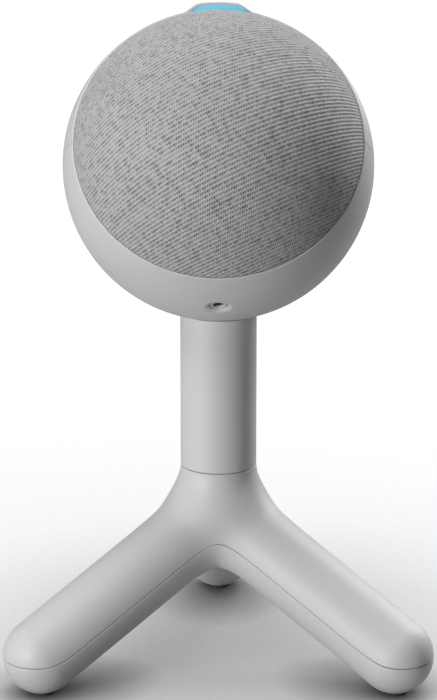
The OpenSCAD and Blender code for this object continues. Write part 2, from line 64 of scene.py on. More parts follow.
class Role(Enum):
    """The surfaces that have a finish of their own."""

    SHELL = "shell"
    KNIT = "knit"
    LIGHT = "light"
    RUBBER = "rubber"
    SOCKET = "socket"
    HOLE = "hole"
    STEEL = "zinc plated steel"
    NICKEL = "nickel plate"
    IRON = "cast iron"
    COPPER = "copper"
    GOLD = "gold plate"
    ALUMINIUM = "aluminium"
    BOARD = "solder mask"
    BLACK = "black plastic"
    GREY = "grey plastic"
    WHITE = "white plastic"
    FERRITE = "ferrite"
    PAPER = "cone paper"
    SPIDER = "stiffened cloth"
    LED = "led lens"


@dataclass(frozen=True)
class Finish:
    """A plain finish.

    Attributes:
        colour: linear base colour.
        roughness: Principled roughness.
        metallic: Principled metallic.
        coat: weight of a clear coat.
        grain: strength of the fine grain's bump.
    """

    colour: tuple
    roughness: float = 0.5
    metallic: float = 0.0
    coat: float = 0.0
    grain: float = 0.04


@dataclass
class Sizes:
    """Sizes of the object, in millimetres and degrees, as in the solids.

    Attributes:
        ball_r: radius of the ball.
        fabric_angle: from the middle of the cover to its edge.
        head_tilt: how far the cover's axis points up from level.
        fabric_r: radius of the cover's face.
        leg_r: radius of a leg.
        foot_reach: from the column's axis to a foot's centre.
        leg_slope: how steeply a leg falls.
        pad_proud: how far the pads stand out under the feet.
        column_r: radius of the column.
        column_len: length of the column at its side.
        blend_r: radius of the bend from column to leg.
        joint_gap: between the stand and the column.
        seat_gap: between the column's cup and the ball.
        brow_h: height of the brow above the ball, a little less than the solid's.
        brow_flat: half the width over which the brow keeps its height.
        brow_end: half the width at which the brow has run out.
        brow_lip: thickness of the brow over the light.
        aux_angle: from the middle of the cover down to the audio socket.
        split_up: height of the stand's parting line above a leg's axis.
    """

    ball_r: float = 50.0
    fabric_angle: float = 67.1
    head_tilt: float = 33.8
    fabric_r: float = 49.7
    leg_r: float = 12.5
    foot_reach: float = 66.3
    leg_slope: float = 30.0
    pad_proud: float = 0.25
    column_r: float = 12.5
    column_len: float = 51.2
    blend_r: float = 16.0
    joint_gap: float = 0.3
    seat_gap: float = 0.4
    brow_h: float = 2.15
    brow_flat: float = 5.6
    brow_end: float = 11.7
    brow_lip: float = 0.8
    aux_angle: float = 85.5
    split_up: float = 0.0

    @property
    def foot_z(self) -> float:
        """Height of a foot's centre."""
        return self.leg_r + self.pad_proud

    @property
    def hub_z(self) -> float:
        """Height at which the legs' axes meet."""
        return self.foot_z + self.foot_reach * math.tan(math.radians(self.leg_slope))

    @property
    def seam_z(self) -> float:
        """Height of the stand's top face."""
        bend = math.radians(90 - self.leg_slope)
        return self.hub_z + (self.leg_r + self.blend_r) * math.tan(bend / 2)

    @property
    def column_z(self) -> float:
        """Height of the column's lower end."""
        return self.seam_z + self.joint_gap

    @property
    def ball_z(self) -> float:
        """Height of the ball's centre."""
        reach = self.ball_r + self.seat_gap
        return self.column_z + self.column_len + math.sqrt(reach**2 - self.column_r**2)

    @property
    def axis_y(self) -> float:
        """Y of the column's axis."""
        front = max(self.ball_r, self.foot_reach * 0.5 + self.leg_r)
        return -(self.foot_reach + self.leg_r - front) / 2

    def head(self) -> Matrix:
        """Matrix from the head's frame, in millimetres, to the row frame, in metres."""
        turn = Matrix.Rotation(math.radians(90 - self.head_tilt), 4, "X")
        place = Matrix.Translation(Vector((0, self.axis_y, self.ball_z)) * MM)
        return place @ turn @ Matrix.Scale(MM, 4)

    def stand(self) -> Matrix:
        """Matrix from the stand's frame, in millimetres, to the row frame, in metres."""
        return Matrix.Translation(Vector((0, self.axis_y, 0)) * MM) @ Matrix.Scale(MM, 4)


# ------------------------------------------------------------------ meshes


@dataclass
class Surface:
    """Triangles with their own vertex normals, before they become an object.

    Attributes:
        points: (n, 3) vertex positions, millimetres, local frame.
        normals: (n, 3) unit normals.
        faces: (m, 3) vertex indices.
    """

    points: np.ndarray
    normals: np.ndarray
    faces: np.ndarray

    def joined(self, *others: "Surface") -> "Surface":
        """Joins this surface with others.

        Args:
            *others: surfaces in the same frame.

        Returns:
            One surface that holds them all.
        """
        points, normals, faces, base = [], [], [], 0
        for s in (self, *others):
            points.append(s.points)
            normals.append(s.normals)
            faces.append(s.faces + base)
            base += len(s.points)
        return Surface(np.vstack(points), np.vstack(normals), np.vstack(faces))

    def clipped(self, value: np.ndarray) -> "tuple[Surface, np.ndarray]":
        """Keeps the side where value is positive.

        Args:
            value: one number per vertex.

        Returns:
            The clipped surface, and the vertex pairs of its new edge.
        """
        value = np.where(np.abs(value) < 1e-5, 1e-5, value)
        inside = value > 0
        count = inside[self.faces].sum(1)
        faces = [self.faces[count == 3]]
        made, points, normals, edge = {}, [], [], []
        base = len(self.points)

        def cut(a: int, b: int) -> int:
            """The new vertex on the side from a to b, made once."""
            key = (min(a, b), max(a, b))
            if key not in made:
                a, b = key
                t = value[a] / (value[a] - value[b])
                made[key] = base + len(points)
                points.append(self.points[a] * (1 - t) + self.points[b] * t)
                normals.append(self.normals[a] * (1 - t) + self.normals[b] * t)
            return made[key]

        fresh = []
        for tri in self.faces[(count == 1) | (count == 2)]:
            keep = [bool(inside[v]) for v in tri]
            while not (keep[0] and not keep[2]):
                tri = np.roll(tri, -1)
                keep = keep[1:] + keep[:1]
            a, b, c = (int(v) for v in tri)
            if keep[1]:
                p, q = cut(b, c), cut(c, a)
                fresh += [(a, b, p), (a, p, q)]
                edge.append((p, q))
            else:
                p, q = cut(a, b), cut(c, a)
                fresh.append((a, p, q))
                edge.append((p, q))
        if fresh:
            faces.append(np.array(fresh))
        out = Surface(
            np.vstack([self.points, np.array(points).reshape(-1, self.points.shape[1])]),
            np.vstack([self.normals, np.array(normals).reshape(-1, 3)]),
            np.vstack(faces),
        )
        out.normals /= np.linalg.norm(out.normals, axis=1, keepdims=True)
        return out, np.array(edge, int).reshape(-1, 2)

    def lip(self, edge: np.ndarray, out: "Callable | tuple", rows: list) -> "Surface":
        """A rolled edge that leaves the surface at a cut.

        Args:
            edge: vertex pairs, as clipped() returns them.
            out: function of positions and normals, giving the direction away
                from the kept side, or one fixed direction.
            rows: (along, inward) offsets in millimetres, one per row.

        Returns:
            The strip.
        """
        used, back = np.unique(edge, return_inverse=True)
        back = back.reshape(edge.shape)
        p, n = self.points[used], self.normals[used]
        away = out(p, n) if callable(out) else np.tile(np.asarray(out, float), (len(p), 1))
        away = away - (away * n).sum(1, keepdims=True) * n
        away /= np.linalg.norm(away, axis=1, keepdims=True)
        rows = [(0.0, 0.0), *rows]
        points, normals = [], []
        for i, (a, b) in enumerate(rows):
            points.append(p + away * a - n * b)
            last, nxt = rows[max(i - 1, 0)], rows[min(i + 1, len(rows) - 1)]
            da, db = nxt[0] - last[0], nxt[1] - last[1]
            facing = away * db + n * da
            normals.append(facing / np.linalg.norm(facing, axis=1, keepdims=True))
        faces, m = [], len(used)
        for i in range(len(rows) - 1):
            a, b = back[:, 0] + i * m, back[:, 1] + i * m
            faces += [np.stack([b, a, a + m], 1), np.stack([b, a + m, b + m], 1)]
        return Surface(np.vstack(points), np.vstack(normals), np.vstack(faces))

    def tidy(self) -> "Surface":
        """Drops vertices that no face uses, and faces with no area.

        Returns:
            The smaller surface.
        """
        a, b, c = (self.points[self.faces[:, i]] for i in range(3))
        area = np.linalg.norm(np.cross(b - a, c - a), axis=1)
        faces = self.faces[area > 1e-9]
        used, back = np.unique(faces, return_inverse=True)
        return Surface(self.points[used], self.normals[used], back.reshape(faces.shape))


def lathe(profile: list, segments: int = 128) -> Surface:
    """Turns a profile round Z.

    Args:
        profile: list of (radius, height), going so that outside is on the right.
        segments: steps round the axis.

    Returns:
        The surface, with a break wherever the profile turns by more than SHARP.
    """
    profile = [tuple(map(float, p)) for p in profile]
    angle = np.linspace(0, TURN, segments, endpoint=False)
    ring = np.stack([np.cos(angle), np.sin(angle)], 1)
    parts = []
    run = [0]
    runs = []
    for i in range(1, len(profile)):
        run.append(i)
        if i < len(profile) - 1:
            d0 = np.subtract(profile[i], profile[i - 1])
            d1 = np.subtract(profile[i + 1], profile[i])
            turn = abs(math.atan2(d0[0] * d1[1] - d0[1] * d1[0], float(d0 @ d1)))
            if turn > SHARP:
                runs.append(run)
                run = [i]
    runs.append(run)
    for run in runs:
        pts, nrm = [], []
        for k, i in enumerate(run):
            r, z = profile[i]
            a = profile[run[max(k - 1, 0)]]
            b = profile[run[min(k + 1, len(run) - 1)]]
            d = np.subtract(b, a)
            d = d / (np.linalg.norm(d) or 1)
            pts.append(np.column_stack([ring * r, np.full(segments, z)]))
            nrm.append(np.column_stack([ring * d[1], np.full(segments, -d[0])]))
        faces = []
        for k in range(len(run) - 1):
            a = np.arange(segments) + k * segments
            b = np.roll(np.arange(segments), -1) + k * segments
            faces.append(np.stack([a, b, b + segments], 1))
            faces.append(np.stack([a, b + segments, a + segments], 1))
        parts.append(Surface(np.vstack(pts), np.vstack(nrm), np.vstack(faces)))
    return parts[0].joined(*parts[1:]).tidy()


def surface_nets(low: tuple, high: tuple, step: float, distance: Callable) -> Surface:
    """Meshes the zero surface of a distance function on a grid of cells.

    Args:
        low: lowest corner of the grid.
        high: highest corner of the grid.
        step: size of a cell.
        distance: function of (n, 3) positions.

    Returns:
        The surface, drawn onto the zero set, with exact normals.
    """
    axes = [np.arange(a, b + step, step) for a, b in zip(low, high)]
    grid = np.stack(np.meshgrid(*axes, indexing="ij"), -1)
    shape = grid.shape[:3]
    value = distance(grid.reshape(-1, 3)).reshape(shape)
    cells = tuple(s - 1 for s in shape)
    total, count = np.zeros(cells + (3,)), np.zeros(cells)
    corners = [(i, j, k) for i in (0, 1) for j in (0, 1) for k in (0, 1)]

    def part(array: np.ndarray, c: tuple) -> np.ndarray:
        """Each cell's value at its corner c."""
        return array[tuple(slice(o, o + n) for o, n in zip(c, cells))]

    for a in corners:
        for axis in range(3):
            if a[axis]:
                continue
            b = tuple(v + (i == axis) for i, v in enumerate(a))
            va, vb = part(value, a), part(value, b)
            cross = (va > 0) != (vb > 0)
            t = np.where(cross, va / np.where(cross, va - vb, 1), 0)[..., None]
            at = part(grid, a) * (1 - t) + part(grid, b) * t
            total += np.where(cross[..., None], at, 0)
            count += cross
    index = -np.ones(cells, int)
    live = count > 0
    index[live] = np.arange(live.sum())
    points = total[live] / count[live][:, None]
    faces = []
    for axis in range(3):
        u, v = [i for i in range(3) if i != axis]
        here = [slice(0, n) for n in shape]
        there = [slice(0, n) for n in shape]
        here[axis], there[axis] = slice(0, -1), slice(1, None)
        s0, s1 = value[tuple(here)] > 0, value[tuple(there)] > 0
        inner = np.zeros_like(s0)
        keep = [slice(None)] * 3
        keep[u], keep[v] = slice(1, -1), slice(1, -1)
        inner[tuple(keep)] = True
        at = np.argwhere((s0 != s1) & inner)
        flip = s0[tuple(at.T)] != (axis == 1)
        du, dv = np.eye(3, dtype=int)[u], np.eye(3, dtype=int)[v]
        ids = [index[tuple((at - o).T)] for o in (0 * du, du, du + dv, dv)]
        quad = np.stack(ids, 1)
        quad[flip] = quad[flip][:, ::-1]
        faces += [quad[:, [0, 1, 2]], quad[:, [0, 2, 3]]]
    for _ in range(4):
        d, n = field_normal(distance, points)
        points = points - np.clip(d, -step, step)[:, None] * n
    _, n = field_normal(distance, points)
    return Surface(points, n, np.vstack(faces))


def field_normal(distance: Callable, points: np.ndarray) -> "tuple[np.ndarray, np.ndarray]":
    """Value and unit gradient of a distance function.

    Args:
        distance: function of (n, 3) positions.
        points: where to measure.

    Returns:
        (values, unit gradients).
    """
    h = 1e-3
    g = np.stack(
        [distance(points + np.eye(3)[i] * h) - distance(points - np.eye(3)[i] * h) for i in range(3)], 1
    )
    size = np.linalg.norm(g, axis=1, keepdims=True)
    return distance(points) / (size[:, 0] / (2 * h)), g / size


def make_object(name: str, surface: Surface, matrix: Matrix,
                material: bpy.types.Material) -> bpy.types.Object:
    """Turns a surface into an object at the origin, with its own normals.

    Args:
        name: the object's name.
        surface: its triangles, in millimetres.
        matrix: from the local frame to the row frame.
        material: its material.

    Returns:
        The linked object.
    """
    surface = surface.tidy()
    m = np.array(matrix, float)
    points = surface.points @ m[:3, :3].T + m[:3, 3]
    turn = m[:3, :3] / np.linalg.norm(m[:3, 0])
    normals = surface.normals @ turn.T
    mesh = bpy.data.meshes.new(name)
    mesh.vertices.add(len(points))
    mesh.vertices.foreach_set("co", points.astype(np.float32).ravel())
    mesh.loops.add(surface.faces.size)
    mesh.loops.foreach_set("vertex_index", surface.faces.astype(np.int32).ravel())
    mesh.polygons.add(len(surface.faces))
    mesh.polygons.foreach_set("loop_start", np.arange(0, surface.faces.size, 3, dtype=np.int32))
    mesh.update(calc_edges=True)
    mesh.validate()
    mesh.shade_smooth()
    mesh.normals_split_custom_set_from_vertices(normals.tolist())
    mesh.materials.append(material)
    obj = bpy.data.objects.new(name, mesh)
    bpy.context.scene.collection.objects.link(obj)
    return obj


def grow(obj: bpy.types.Object, tree: bpy.types.NodeTree, **values: object) -> None:
    """Runs a geometry node tree on an object and keeps its result as the plain mesh.

    Args:
        obj: the object, whose mesh is the tree's geometry.
        tree: the tree.
        **values: the tree's inputs, by name.
    """
    modifier = obj.modifiers.new(tree.name, "NODES")
    modifier.node_group = tree
    for item in tree.interface.items_tree:
        if item.in_out == "INPUT" and item.name in values:
            modifier[item.identifier] = values[item.name]
    depsgraph = bpy.context.evaluated_depsgraph_get()
    mesh = bpy.data.meshes.new_from_object(
        obj.evaluated_get(depsgraph), preserve_all_data_layers=True, depsgraph=depsgraph
    )
    obj.modifiers.remove(modifier)
    old, obj.data = obj.data, mesh
    bpy.data.meshes.remove(old)
    mesh.name = obj.name
    if "custom_normal" in mesh.attributes:
        mesh.attributes.remove(mesh.attributes["custom_normal"])
    mesh.shade_smooth()


def smoothstep(low: float, high: float, x: np.ndarray) -> np.ndarray:
    """Smooth ramp from 0 at low to 1 at high.

    Args:
        low: where the ramp starts.
        high: where it ends.
        x: number or array.

    Returns:
        The ramp's value.
    """
    t = np.clip((x - low) / (high - low), 0, 1)
    return t * t * (3 - 2 * t)


# ------------------------------------------------------------------ finishes


class Graph:
    """A node tree, with short ways to add nodes and to feed their inputs."""

    def __init__(self, tree: bpy.types.NodeTree) -> None:
        """Takes the tree."""
        self.tree = tree

    @classmethod
    def group(cls, name: str, kind: str, inputs: dict, outputs: dict) -> "Graph":
        """Makes a node group with named ends.

        Args:
            name: the group's name.
            kind: "Shader" or "Geometry".
            inputs: each input's type and default, by name, with None for no default.
            outputs: each output's type, by name.

        Returns:
            Its graph, whose ends are source and target.
        """
        graph = cls(bpy.data.node_groups.new(name, kind + "NodeTree"))
        face = graph.tree.interface
        for label, (form, value) in inputs.items():
            socket = face.new_socket(label, in_out="INPUT", socket_type="NodeSocket" + form)
            if value is not None:
                socket.default_value = value
        for label, form in outputs.items():
            face.new_socket(label, in_out="OUTPUT", socket_type="NodeSocket" + form)
        graph.source = graph.add("NodeGroupInput").outputs
        graph.target = graph.add("NodeGroupOutput").inputs
        return graph

    def put(self, value: object, socket: bpy.types.NodeSocket) -> None:
        """Feeds an input with a constant or with another node's output."""
        if isinstance(value, bpy.types.NodeSocket):
            self.tree.links.new(value, socket)
        else:
            socket.default_value = value

    def add(self, kind: str, inputs: "dict | None" = None, **settings: object) -> bpy.types.Node:
        """Adds a node.

        Args:
            kind: its type.
            inputs: constants or outputs for its inputs, by name or by number.
            **settings: its properties.

        Returns:
            The node.
        """
        node = self.tree.nodes.new(kind)
        for name, value in settings.items():
            setattr(node, name, value)
        for key, value in (inputs or {}).items():
            self.put(value, node.inputs[key])
        return node

    def maths(self, operation: str, *values: object) -> bpy.types.NodeSocket:
        """Adds a maths node on some values and hands out its result."""
        return self.add("ShaderNodeMath", dict(enumerate(values)), operation=operation).outputs[0]

    def lattice(self, where: bpy.types.NodeSocket, shift: bpy.types.NodeSocket) -> tuple:
        """Splits stitch coordinates into what both the relief and the colour of a knit need.

        Args:
            where: the stitch coordinates.
            shift: how far each row starts along from the one below, in stitches.

        Returns:
            The row's number, the place along it, how far a point is between rows,
            and a wave that has one crest for each stitch.
        """
        split = self.add("ShaderNodeSeparateXYZ", {0: where}).outputs
        row = self.maths("FLOOR", self.maths("ADD", split[1], 0.5))
        along = self.maths("MULTIPLY_ADD", row, shift, split[0])
        crest = self.maths("COSINE", self.maths("MULTIPLY", split[1], TURN))
        gap = self.maths("MULTIPLY_ADD", crest, 0.5, 0.5)
        wave = self.maths("SINE", self.maths("MULTIPLY", along, TURN))
        return row, along, gap, wave


class Palette:
    """Makes each material once and hands it out by role."""

    SPREAD = 0.04  # how far the roughness wanders either way

    FINISHES = {
        Role.SHELL: Finish((0.50, 0.50, 0.505), 0.52),
        Role.RUBBER: Finish((0.03, 0.03, 0.03), 0.8),
        Role.SOCKET: Finish((0.46, 0.46, 0.465), 0.4),
        Role.HOLE: Finish((0.03, 0.03, 0.03), 0.6),
        Role.STEEL: Finish((0.56, 0.56, 0.58), 0.34, metallic=1.0, grain=0.02),
        Role.NICKEL: Finish((0.64, 0.62, 0.59), 0.22, metallic=1.0, grain=0.01),
        Role.IRON: Finish((0.09, 0.09, 0.095), 0.62, metallic=0.8, grain=0.3),
        Role.COPPER: Finish((0.72, 0.30, 0.16), 0.3, metallic=1.0),
        Role.GOLD: Finish((0.83, 0.60, 0.24), 0.25, metallic=1.0, grain=0.01),
        Role.ALUMINIUM: Finish((0.76, 0.77, 0.78), 0.38, metallic=1.0),
        Role.BOARD: Finish((0.012, 0.085, 0.035), 0.4, coat=0.5),
        Role.BLACK: Finish((0.018, 0.018, 0.02), 0.5),
        Role.GREY: Finish((0.10, 0.103, 0.11), 0.5),
        Role.WHITE: Finish((0.68, 0.68, 0.66), 0.4),
        Role.FERRITE: Finish((0.024, 0.024, 0.026), 0.55, grain=0.2),
        Role.PAPER: Finish((0.022, 0.022, 0.023), 0.9, grain=0.4),
        Role.SPIDER: Finish((0.26, 0.145, 0.035), 0.9, grain=0.5),
        Role.LED: Finish((0.80, 0.82, 0.70), 0.25, coat=0.4),
    }

    def __init__(self) -> None:
        """Starts with no materials made."""
        self._made: dict = {}
        self._grain = self._grain_group()

    def __getitem__(self, role: Role) -> bpy.types.Material:
        """The material of a role, made on first use."""
        if role not in self._made:
            if role is Role.KNIT:
                self._made[role] = self._knit()
            elif role is Role.LIGHT:
                self._made[role] = self._light()
            else:
                self._made[role] = self._plain(role.value, self.FINISHES[role])
        return self._made[role]

    @staticmethod
    def blank(name: str) -> tuple:
        """Makes a material with nodes.

        Args:
            name: its name.

        Returns:
            (the material, its graph, its shader node).
        """
        material = bpy.data.materials.new(name)
        material.use_nodes = True
        return material, Graph(material.node_tree), material.node_tree.nodes["Principled BSDF"]

    @staticmethod
    def _grain_group() -> bpy.types.NodeTree:
        """A group that gives a moulded plastic's fine grain as a height and a tone."""
        ends = {"Vector": ("Vector", None), "Scale": ("Float", 1400.0)}
        graph = Graph.group("moulded grain", "Shader", ends, {"Height": "Float", "Tone": "Float"})
        vector, scale = graph.source["Vector"], graph.source["Scale"]
        fine = graph.add("ShaderNodeTexNoise", {"Vector": vector, "Scale": scale, "Detail": 3.0})
        broad = graph.add("ShaderNodeTexNoise", {"Vector": vector, "Scale": 35.0})
        graph.put(fine.outputs["Fac"], graph.target["Height"])
        graph.put(broad.outputs["Fac"], graph.target["Tone"])
        return graph.tree

    def _plain(self, name: str, finish: Finish) -> bpy.types.Material:
        """A finish of one colour with a fine grain.

        Args:
            name: material name.
            finish: its constants.

        Returns:
            The material.
        """
        material, graph, shader = self.blank(name)
        shader.inputs["Base Color"].default_value = (*finish.colour, 1)
        shader.inputs["Metallic"].default_value = finish.metallic
        shader.inputs["Roughness"].default_value = finish.roughness
        shader.inputs["Coat Weight"].default_value = finish.coat
        where = graph.add("ShaderNodeTexCoord").outputs["Object"]
        grain = graph.add("ShaderNodeGroup", node_tree=self._grain)
        graph.put(where, grain.inputs["Vector"])
        bump = graph.add("ShaderNodeBump", {
            "Strength": finish.grain, "Distance": 0.2 * MM, "Height": grain.outputs["Height"]})
        rough = graph.add("ShaderNodeMapRange", {
            "To Min": finish.roughness - self.SPREAD, "To Max": finish.roughness + self.SPREAD,
            "Value": grain.outputs["Tone"]})
        graph.put(bump.outputs["Normal"], shader.inputs["Normal"])
        graph.put(rough.outputs["Result"], shader.inputs["Roughness"])
        return material

    def _light(self) -> bpy.types.Material:
        """The lit window: a diffuser that glows evenly.

        Returns:
            The material.
        """
        material, _, shader = self.blank("light")
        shader.inputs["Base Color"].default_value = (0.16, 0.34, 0.42, 1)
        shader.inputs["Roughness"].default_value = 0.35
        shader.inputs["Emission Color"].default_value = (0.10, 0.45, 0.62, 1)
        shader.inputs["Emission Strength"].default_value = 0.75
        return material

    @staticmethod
    def _stitch_group() -> bpy.types.NodeTree:
        """A group that turns stitch coordinates into a knit's tone and height. The tone carries painted
        shade, darker in the gaps between rows and in the holes between stitches, on top of the yarn's own
        uneven colour.

        Returns:
            The group, with inputs UV, Melange and Shift and outputs Tone and Height.
        """
        ends = {"UV": ("Vector", None), "Melange": ("Float", 0.6), "Shift": ("Float", Fabric.shift)}
        graph = Graph.group("knit stitches", "Shader", ends, {"Tone": "Float", "Height": "Float"})
        maths, where = graph.maths, graph.source["UV"]
        row, along, gap, wave = graph.lattice(where, graph.source["Shift"])
        hole = maths("POWER", maths("MULTIPLY_ADD", wave, 0.5, 0.5), 1.4)
        # dip: how deep the gaps between rows and the stitches' holes go; it drives the bump and, through the
        # tone, paints shade into them.
        dip = maths("MULTIPLY", gap, maths("MULTIPLY_ADD", hole, 0.58, 0.22))
        cell = graph.add("ShaderNodeCombineXYZ", {0: maths("FLOOR", along), 1: row}).outputs[0]
        fleck = graph.add("ShaderNodeTexWhiteNoise", noise_dimensions="2D")
        graph.put(cell, fleck.inputs["Vector"])
        broad = graph.add("ShaderNodeTexNoise", {"Vector": where, "Scale": 0.35, "Detail": 4.0})
        small = maths("MULTIPLY", maths("SUBTRACT", fleck.outputs["Value"], 0.5), 0.7)
        large = maths("MULTIPLY", maths("SUBTRACT", broad.outputs["Fac"], 0.5), 1.2)
        uneven = maths("MULTIPLY", maths("ADD", small, large), graph.source["Melange"])
        height = maths("SUBTRACT", 1.0, dip)
        graph.put(height, graph.target["Height"])
        # Tone: painted shade from the dip, plus the yarn's own uneven colour.
        graph.put(maths("ADD", height, uneven), graph.target["Tone"])
        return graph.tree

    def _knit(self) -> bpy.types.Material:
        """Light-grey knitted cloth with slightly uneven yarn, and painted shade that darkens the gaps between
        rows and the holes between stitches.

        Returns:
            The material.
        """
        material, graph, shader = self.blank("knit")
        where = graph.add("ShaderNodeUVMap", uv_map="stitches").outputs["UV"]
        knit = graph.add("ShaderNodeGroup", node_tree=self._stitch_group())
        graph.put(where, knit.inputs["UV"])
        # The ramp turns the tone into colour: painted shade darkens the stitches' hollows, and the yarn's
        # flecks vary it.
        ramp = graph.add("ShaderNodeValToRGB", {"Fac": knit.outputs["Tone"]})
        dark, light = ramp.color_ramp.elements
        dark.position, dark.color = 0.0, (0.045, 0.045, 0.046, 1)
        light.position, light.color = 1.25 / 1.4, (0.375, 0.375, 0.379, 1)
        bump = graph.add("ShaderNodeBump", {
            "Strength": 0.85, "Distance": 0.3 * MM, "Height": knit.outputs["Height"]})
        graph.put(ramp.outputs["Color"], shader.inputs["Base Color"])
        graph.put(bump.outputs["Normal"], shader.inputs["Normal"])
        shader.inputs["Roughness"].default_value = 0.85
        shader.inputs["Sheen Weight"].default_value = 0.15
        shader.inputs["Sheen Roughness"].default_value = 0.5
        return material


# ------------------------------------------------------------------ pieces


@dataclass
class Piece:
    """One visible piece.

    Attributes:
        sizes: the shared sizes.
        palette: the shared materials.
    """

    sizes: Sizes
    palette: Palette

    def place(self, name: str, surface: Surface, matrix: Matrix, role: Role, body: str, slot: str,
              nodes: tuple = ()) -> bpy.types.Object:
        """Makes the object and ties it to the frame.

        Args:
            name: object name.
            surface: its triangles.
            matrix: local frame to row frame.
            role: its finish.
            body: the body it moves with.
            slot: the record's material slot.
            nodes: the solids it stands for.

        Returns:
            The object.
        """
        obj = make_object(name, surface, matrix, self.palette[role])
        self.tie(obj, body, slot, nodes)
        return obj

    @staticmethod
    def tie(obj: bpy.types.Object, body: str, slot: str, nodes: tuple = ()) -> None:
        """Ties a finished object to the frame and reports it.

        Args:
            obj: the object.
            body: the body it moves with.
            slot: the record's material slot; not used.
            nodes: the solids it stands for.
        """
        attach(obj, body)
        if nodes:
            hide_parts(*nodes)
        log.info("%s: %d faces, rides on %s", obj.name, len(obj.data.polygons), body)


@dataclass
class Stand(Piece):
    """The three-legged stand: an upper casting and a lower cover with a seam between.

    Attributes:
        web: how strongly the crotches between the legs are rounded, millimetres.
        web_rise: how far under the top the rounding has its full strength.
        cell: size of the mesh's cells.
        top_round: size of the rounding at the top edge.
        half_seam: distance from the seam's middle to the casting.
        lip: distance from the seam's middle to where the cover starts to round over.
        seam_blend: how softly the seam turns from one leg to the next.
        seam_drop: how far the seam lies under a foot's centre.
        seam_bend: how softly the seam levels out at a foot.
        directions: the legs' directions in plan, degrees.
    """

    web: float = 3.3
    web_rise: float = 15.0
    cell: float = 1.25
    top_round: float = 0.3
    half_seam: float = 0.2
    lip: float = 0.5
    seam_blend: float = 2.8
    seam_drop: float = 0.1
    seam_bend: float = 1.6
    directions: tuple = (90.0, 210.0, 330.0)

    def leg_distance(self, p: np.ndarray, angle: float) -> np.ndarray:
        """Distance to one leg's line: down the column, round the bend, out to the foot.

        Args:
            p: positions.
            angle: direction of the leg in plan, degrees.

        Returns:
            Distances.
        """
        s = self.sizes
        a, slope = math.radians(angle), math.radians(s.leg_slope)
        out = p[:, 0] * math.cos(a) + p[:, 1] * math.sin(a)
        side = -p[:, 0] * math.sin(a) + p[:, 1] * math.cos(a)
        z = p[:, 2]
        bend_r = s.leg_r + s.blend_r
        up = np.hypot(out, np.minimum(z - s.seam_z, 0))
        bend = math.pi / 2 - slope
        start = np.array([bend_r * (1 - math.cos(bend)), s.seam_z - bend_r * math.sin(bend)])
        end = np.array([s.foot_reach, s.foot_z])
        along = (end - start) / np.linalg.norm(end - start)
        rel = np.stack([out - start[0], z - start[1]], 1)
        t = np.clip(rel @ along, 0, np.linalg.norm(end - start))
        leg = np.linalg.norm(rel - t[:, None] * along, axis=1)
        rc = np.stack([out - bend_r, z - s.seam_z], 1)
        turn = np.arctan2(-rc[:, 1], -rc[:, 0])
        on_bend = (turn >= 0) & (turn <= bend)
        arc = np.where(on_bend, np.abs(np.linalg.norm(rc, axis=1) - bend_r), 1e3)
        return np.hypot(np.minimum(np.minimum(up, leg), arc), side)

    def distance(self, p: np.ndarray) -> np.ndarray:
        """Distance to the stand's skin, with rounded crotches.

        Args:
            p: positions.

        Returns:
            Signed distances.
        """
        d = np.stack([self.leg_distance(p, a) for a in self.directions], 1)
        k = (0.02 + self.web * smoothstep(0, self.web_rise, self.sizes.seam_z - p[:, 2]))[:, None]
        low = d.min(1, keepdims=True)
        return (low - k * np.log(np.exp(-(d - low) / k).sum(1, keepdims=True)))[:, 0] - self.sizes.leg_r

    def seam(self, p: np.ndarray) -> np.ndarray:
        """Height above the surface that parts the casting from the cover.

        Args:
            p: positions.

        Returns:
            Heights, negative below it.
        """
        s = self.sizes
        slope = math.radians(s.leg_slope)
        a = np.radians(self.directions)
        out = p[:, :1] * np.cos(a) + p[:, 1:2] * np.sin(a)
        top = out.max(1, keepdims=True)
        blend = self.seam_blend
        out = top[:, 0] + blend * np.log(np.exp((out - top) / blend).sum(1))
        flat = s.foot_z - self.seam_drop
        line = s.hub_z + s.split_up / math.cos(slope) - out * math.tan(slope)
        k = self.seam_bend
        return p[:, 2] - (flat + k * np.log1p(np.exp(np.clip((line - flat) / k, -40, 40))))

    def build(self) -> None:
        """Makes the casting and the cover."""
        s = self.sizes
        reach = s.foot_reach + s.leg_r + 3
        low = (-reach, -reach / 2 - 9, -3)  # the two front legs reach half as far along Y, plus a foot
        high = (reach, reach, s.seam_z + 4)
        whole = surface_nets(low, high, self.cell, self.distance)
        top_z = s.seam_z - self.top_round
        whole, _ = whole.clipped(top_z - whole.points[:, 2])
        g = self.seam(whole.points)
        upper, cut_u = whole.clipped(g - self.half_seam)
        lower, cut_l = whole.clipped(-g - self.lip)

        def away(sign: float) -> Callable:
            """The direction across the seam, up or down."""
            return lambda p, n: sign * field_normal(self.seam, p)[1]

        roll = [(0.12, 0.02), (0.23, 0.07), (0.31, 0.16), (0.35, 0.3), (0.36, 0.45), (0.36, 2.2)]
        soft = [(0.02, 0.03), (0.05, 0.16), (0.06, 0.35), (0.06, 2.2)]
        rim = [(0.12, 0.02), (0.26, 0.12), (0.3, 0.3), (0.3, 7.0)]
        whole_top = upper.lip(self.edge_at(upper, top_z), (0, 0, 1), rim)
        self.place("stand_casting", upper.joined(upper.lip(cut_u, away(-1), soft), whole_top),
                   s.stand(), Role.SHELL, "stand", "shell", ["tripod_shell"])
        self.place("stand_cover", lower.joined(lower.lip(cut_l, away(1), roll)),
                   s.stand(), Role.SHELL, "stand", "shell", ["tripod_cover"])

    @staticmethod
    def edge_at(surface: Surface, height: float) -> np.ndarray:
        """Open edges of a surface that lie at a height.

        Args:
            surface: where to look.
            height: the height.

        Returns:
            Directed vertex pairs, as clipped() gives them.
        """
        f = surface.faces
        pairs = np.vstack([f[:, [0, 1]], f[:, [1, 2]], f[:, [2, 0]]])
        _, first, count = np.unique(np.sort(pairs, 1), axis=0, return_index=True, return_counts=True)
        lone = pairs[first[count == 1]]
        return lone[(np.abs(surface.points[lone][:, :, 2] - height) < 1e-3).all(1)]


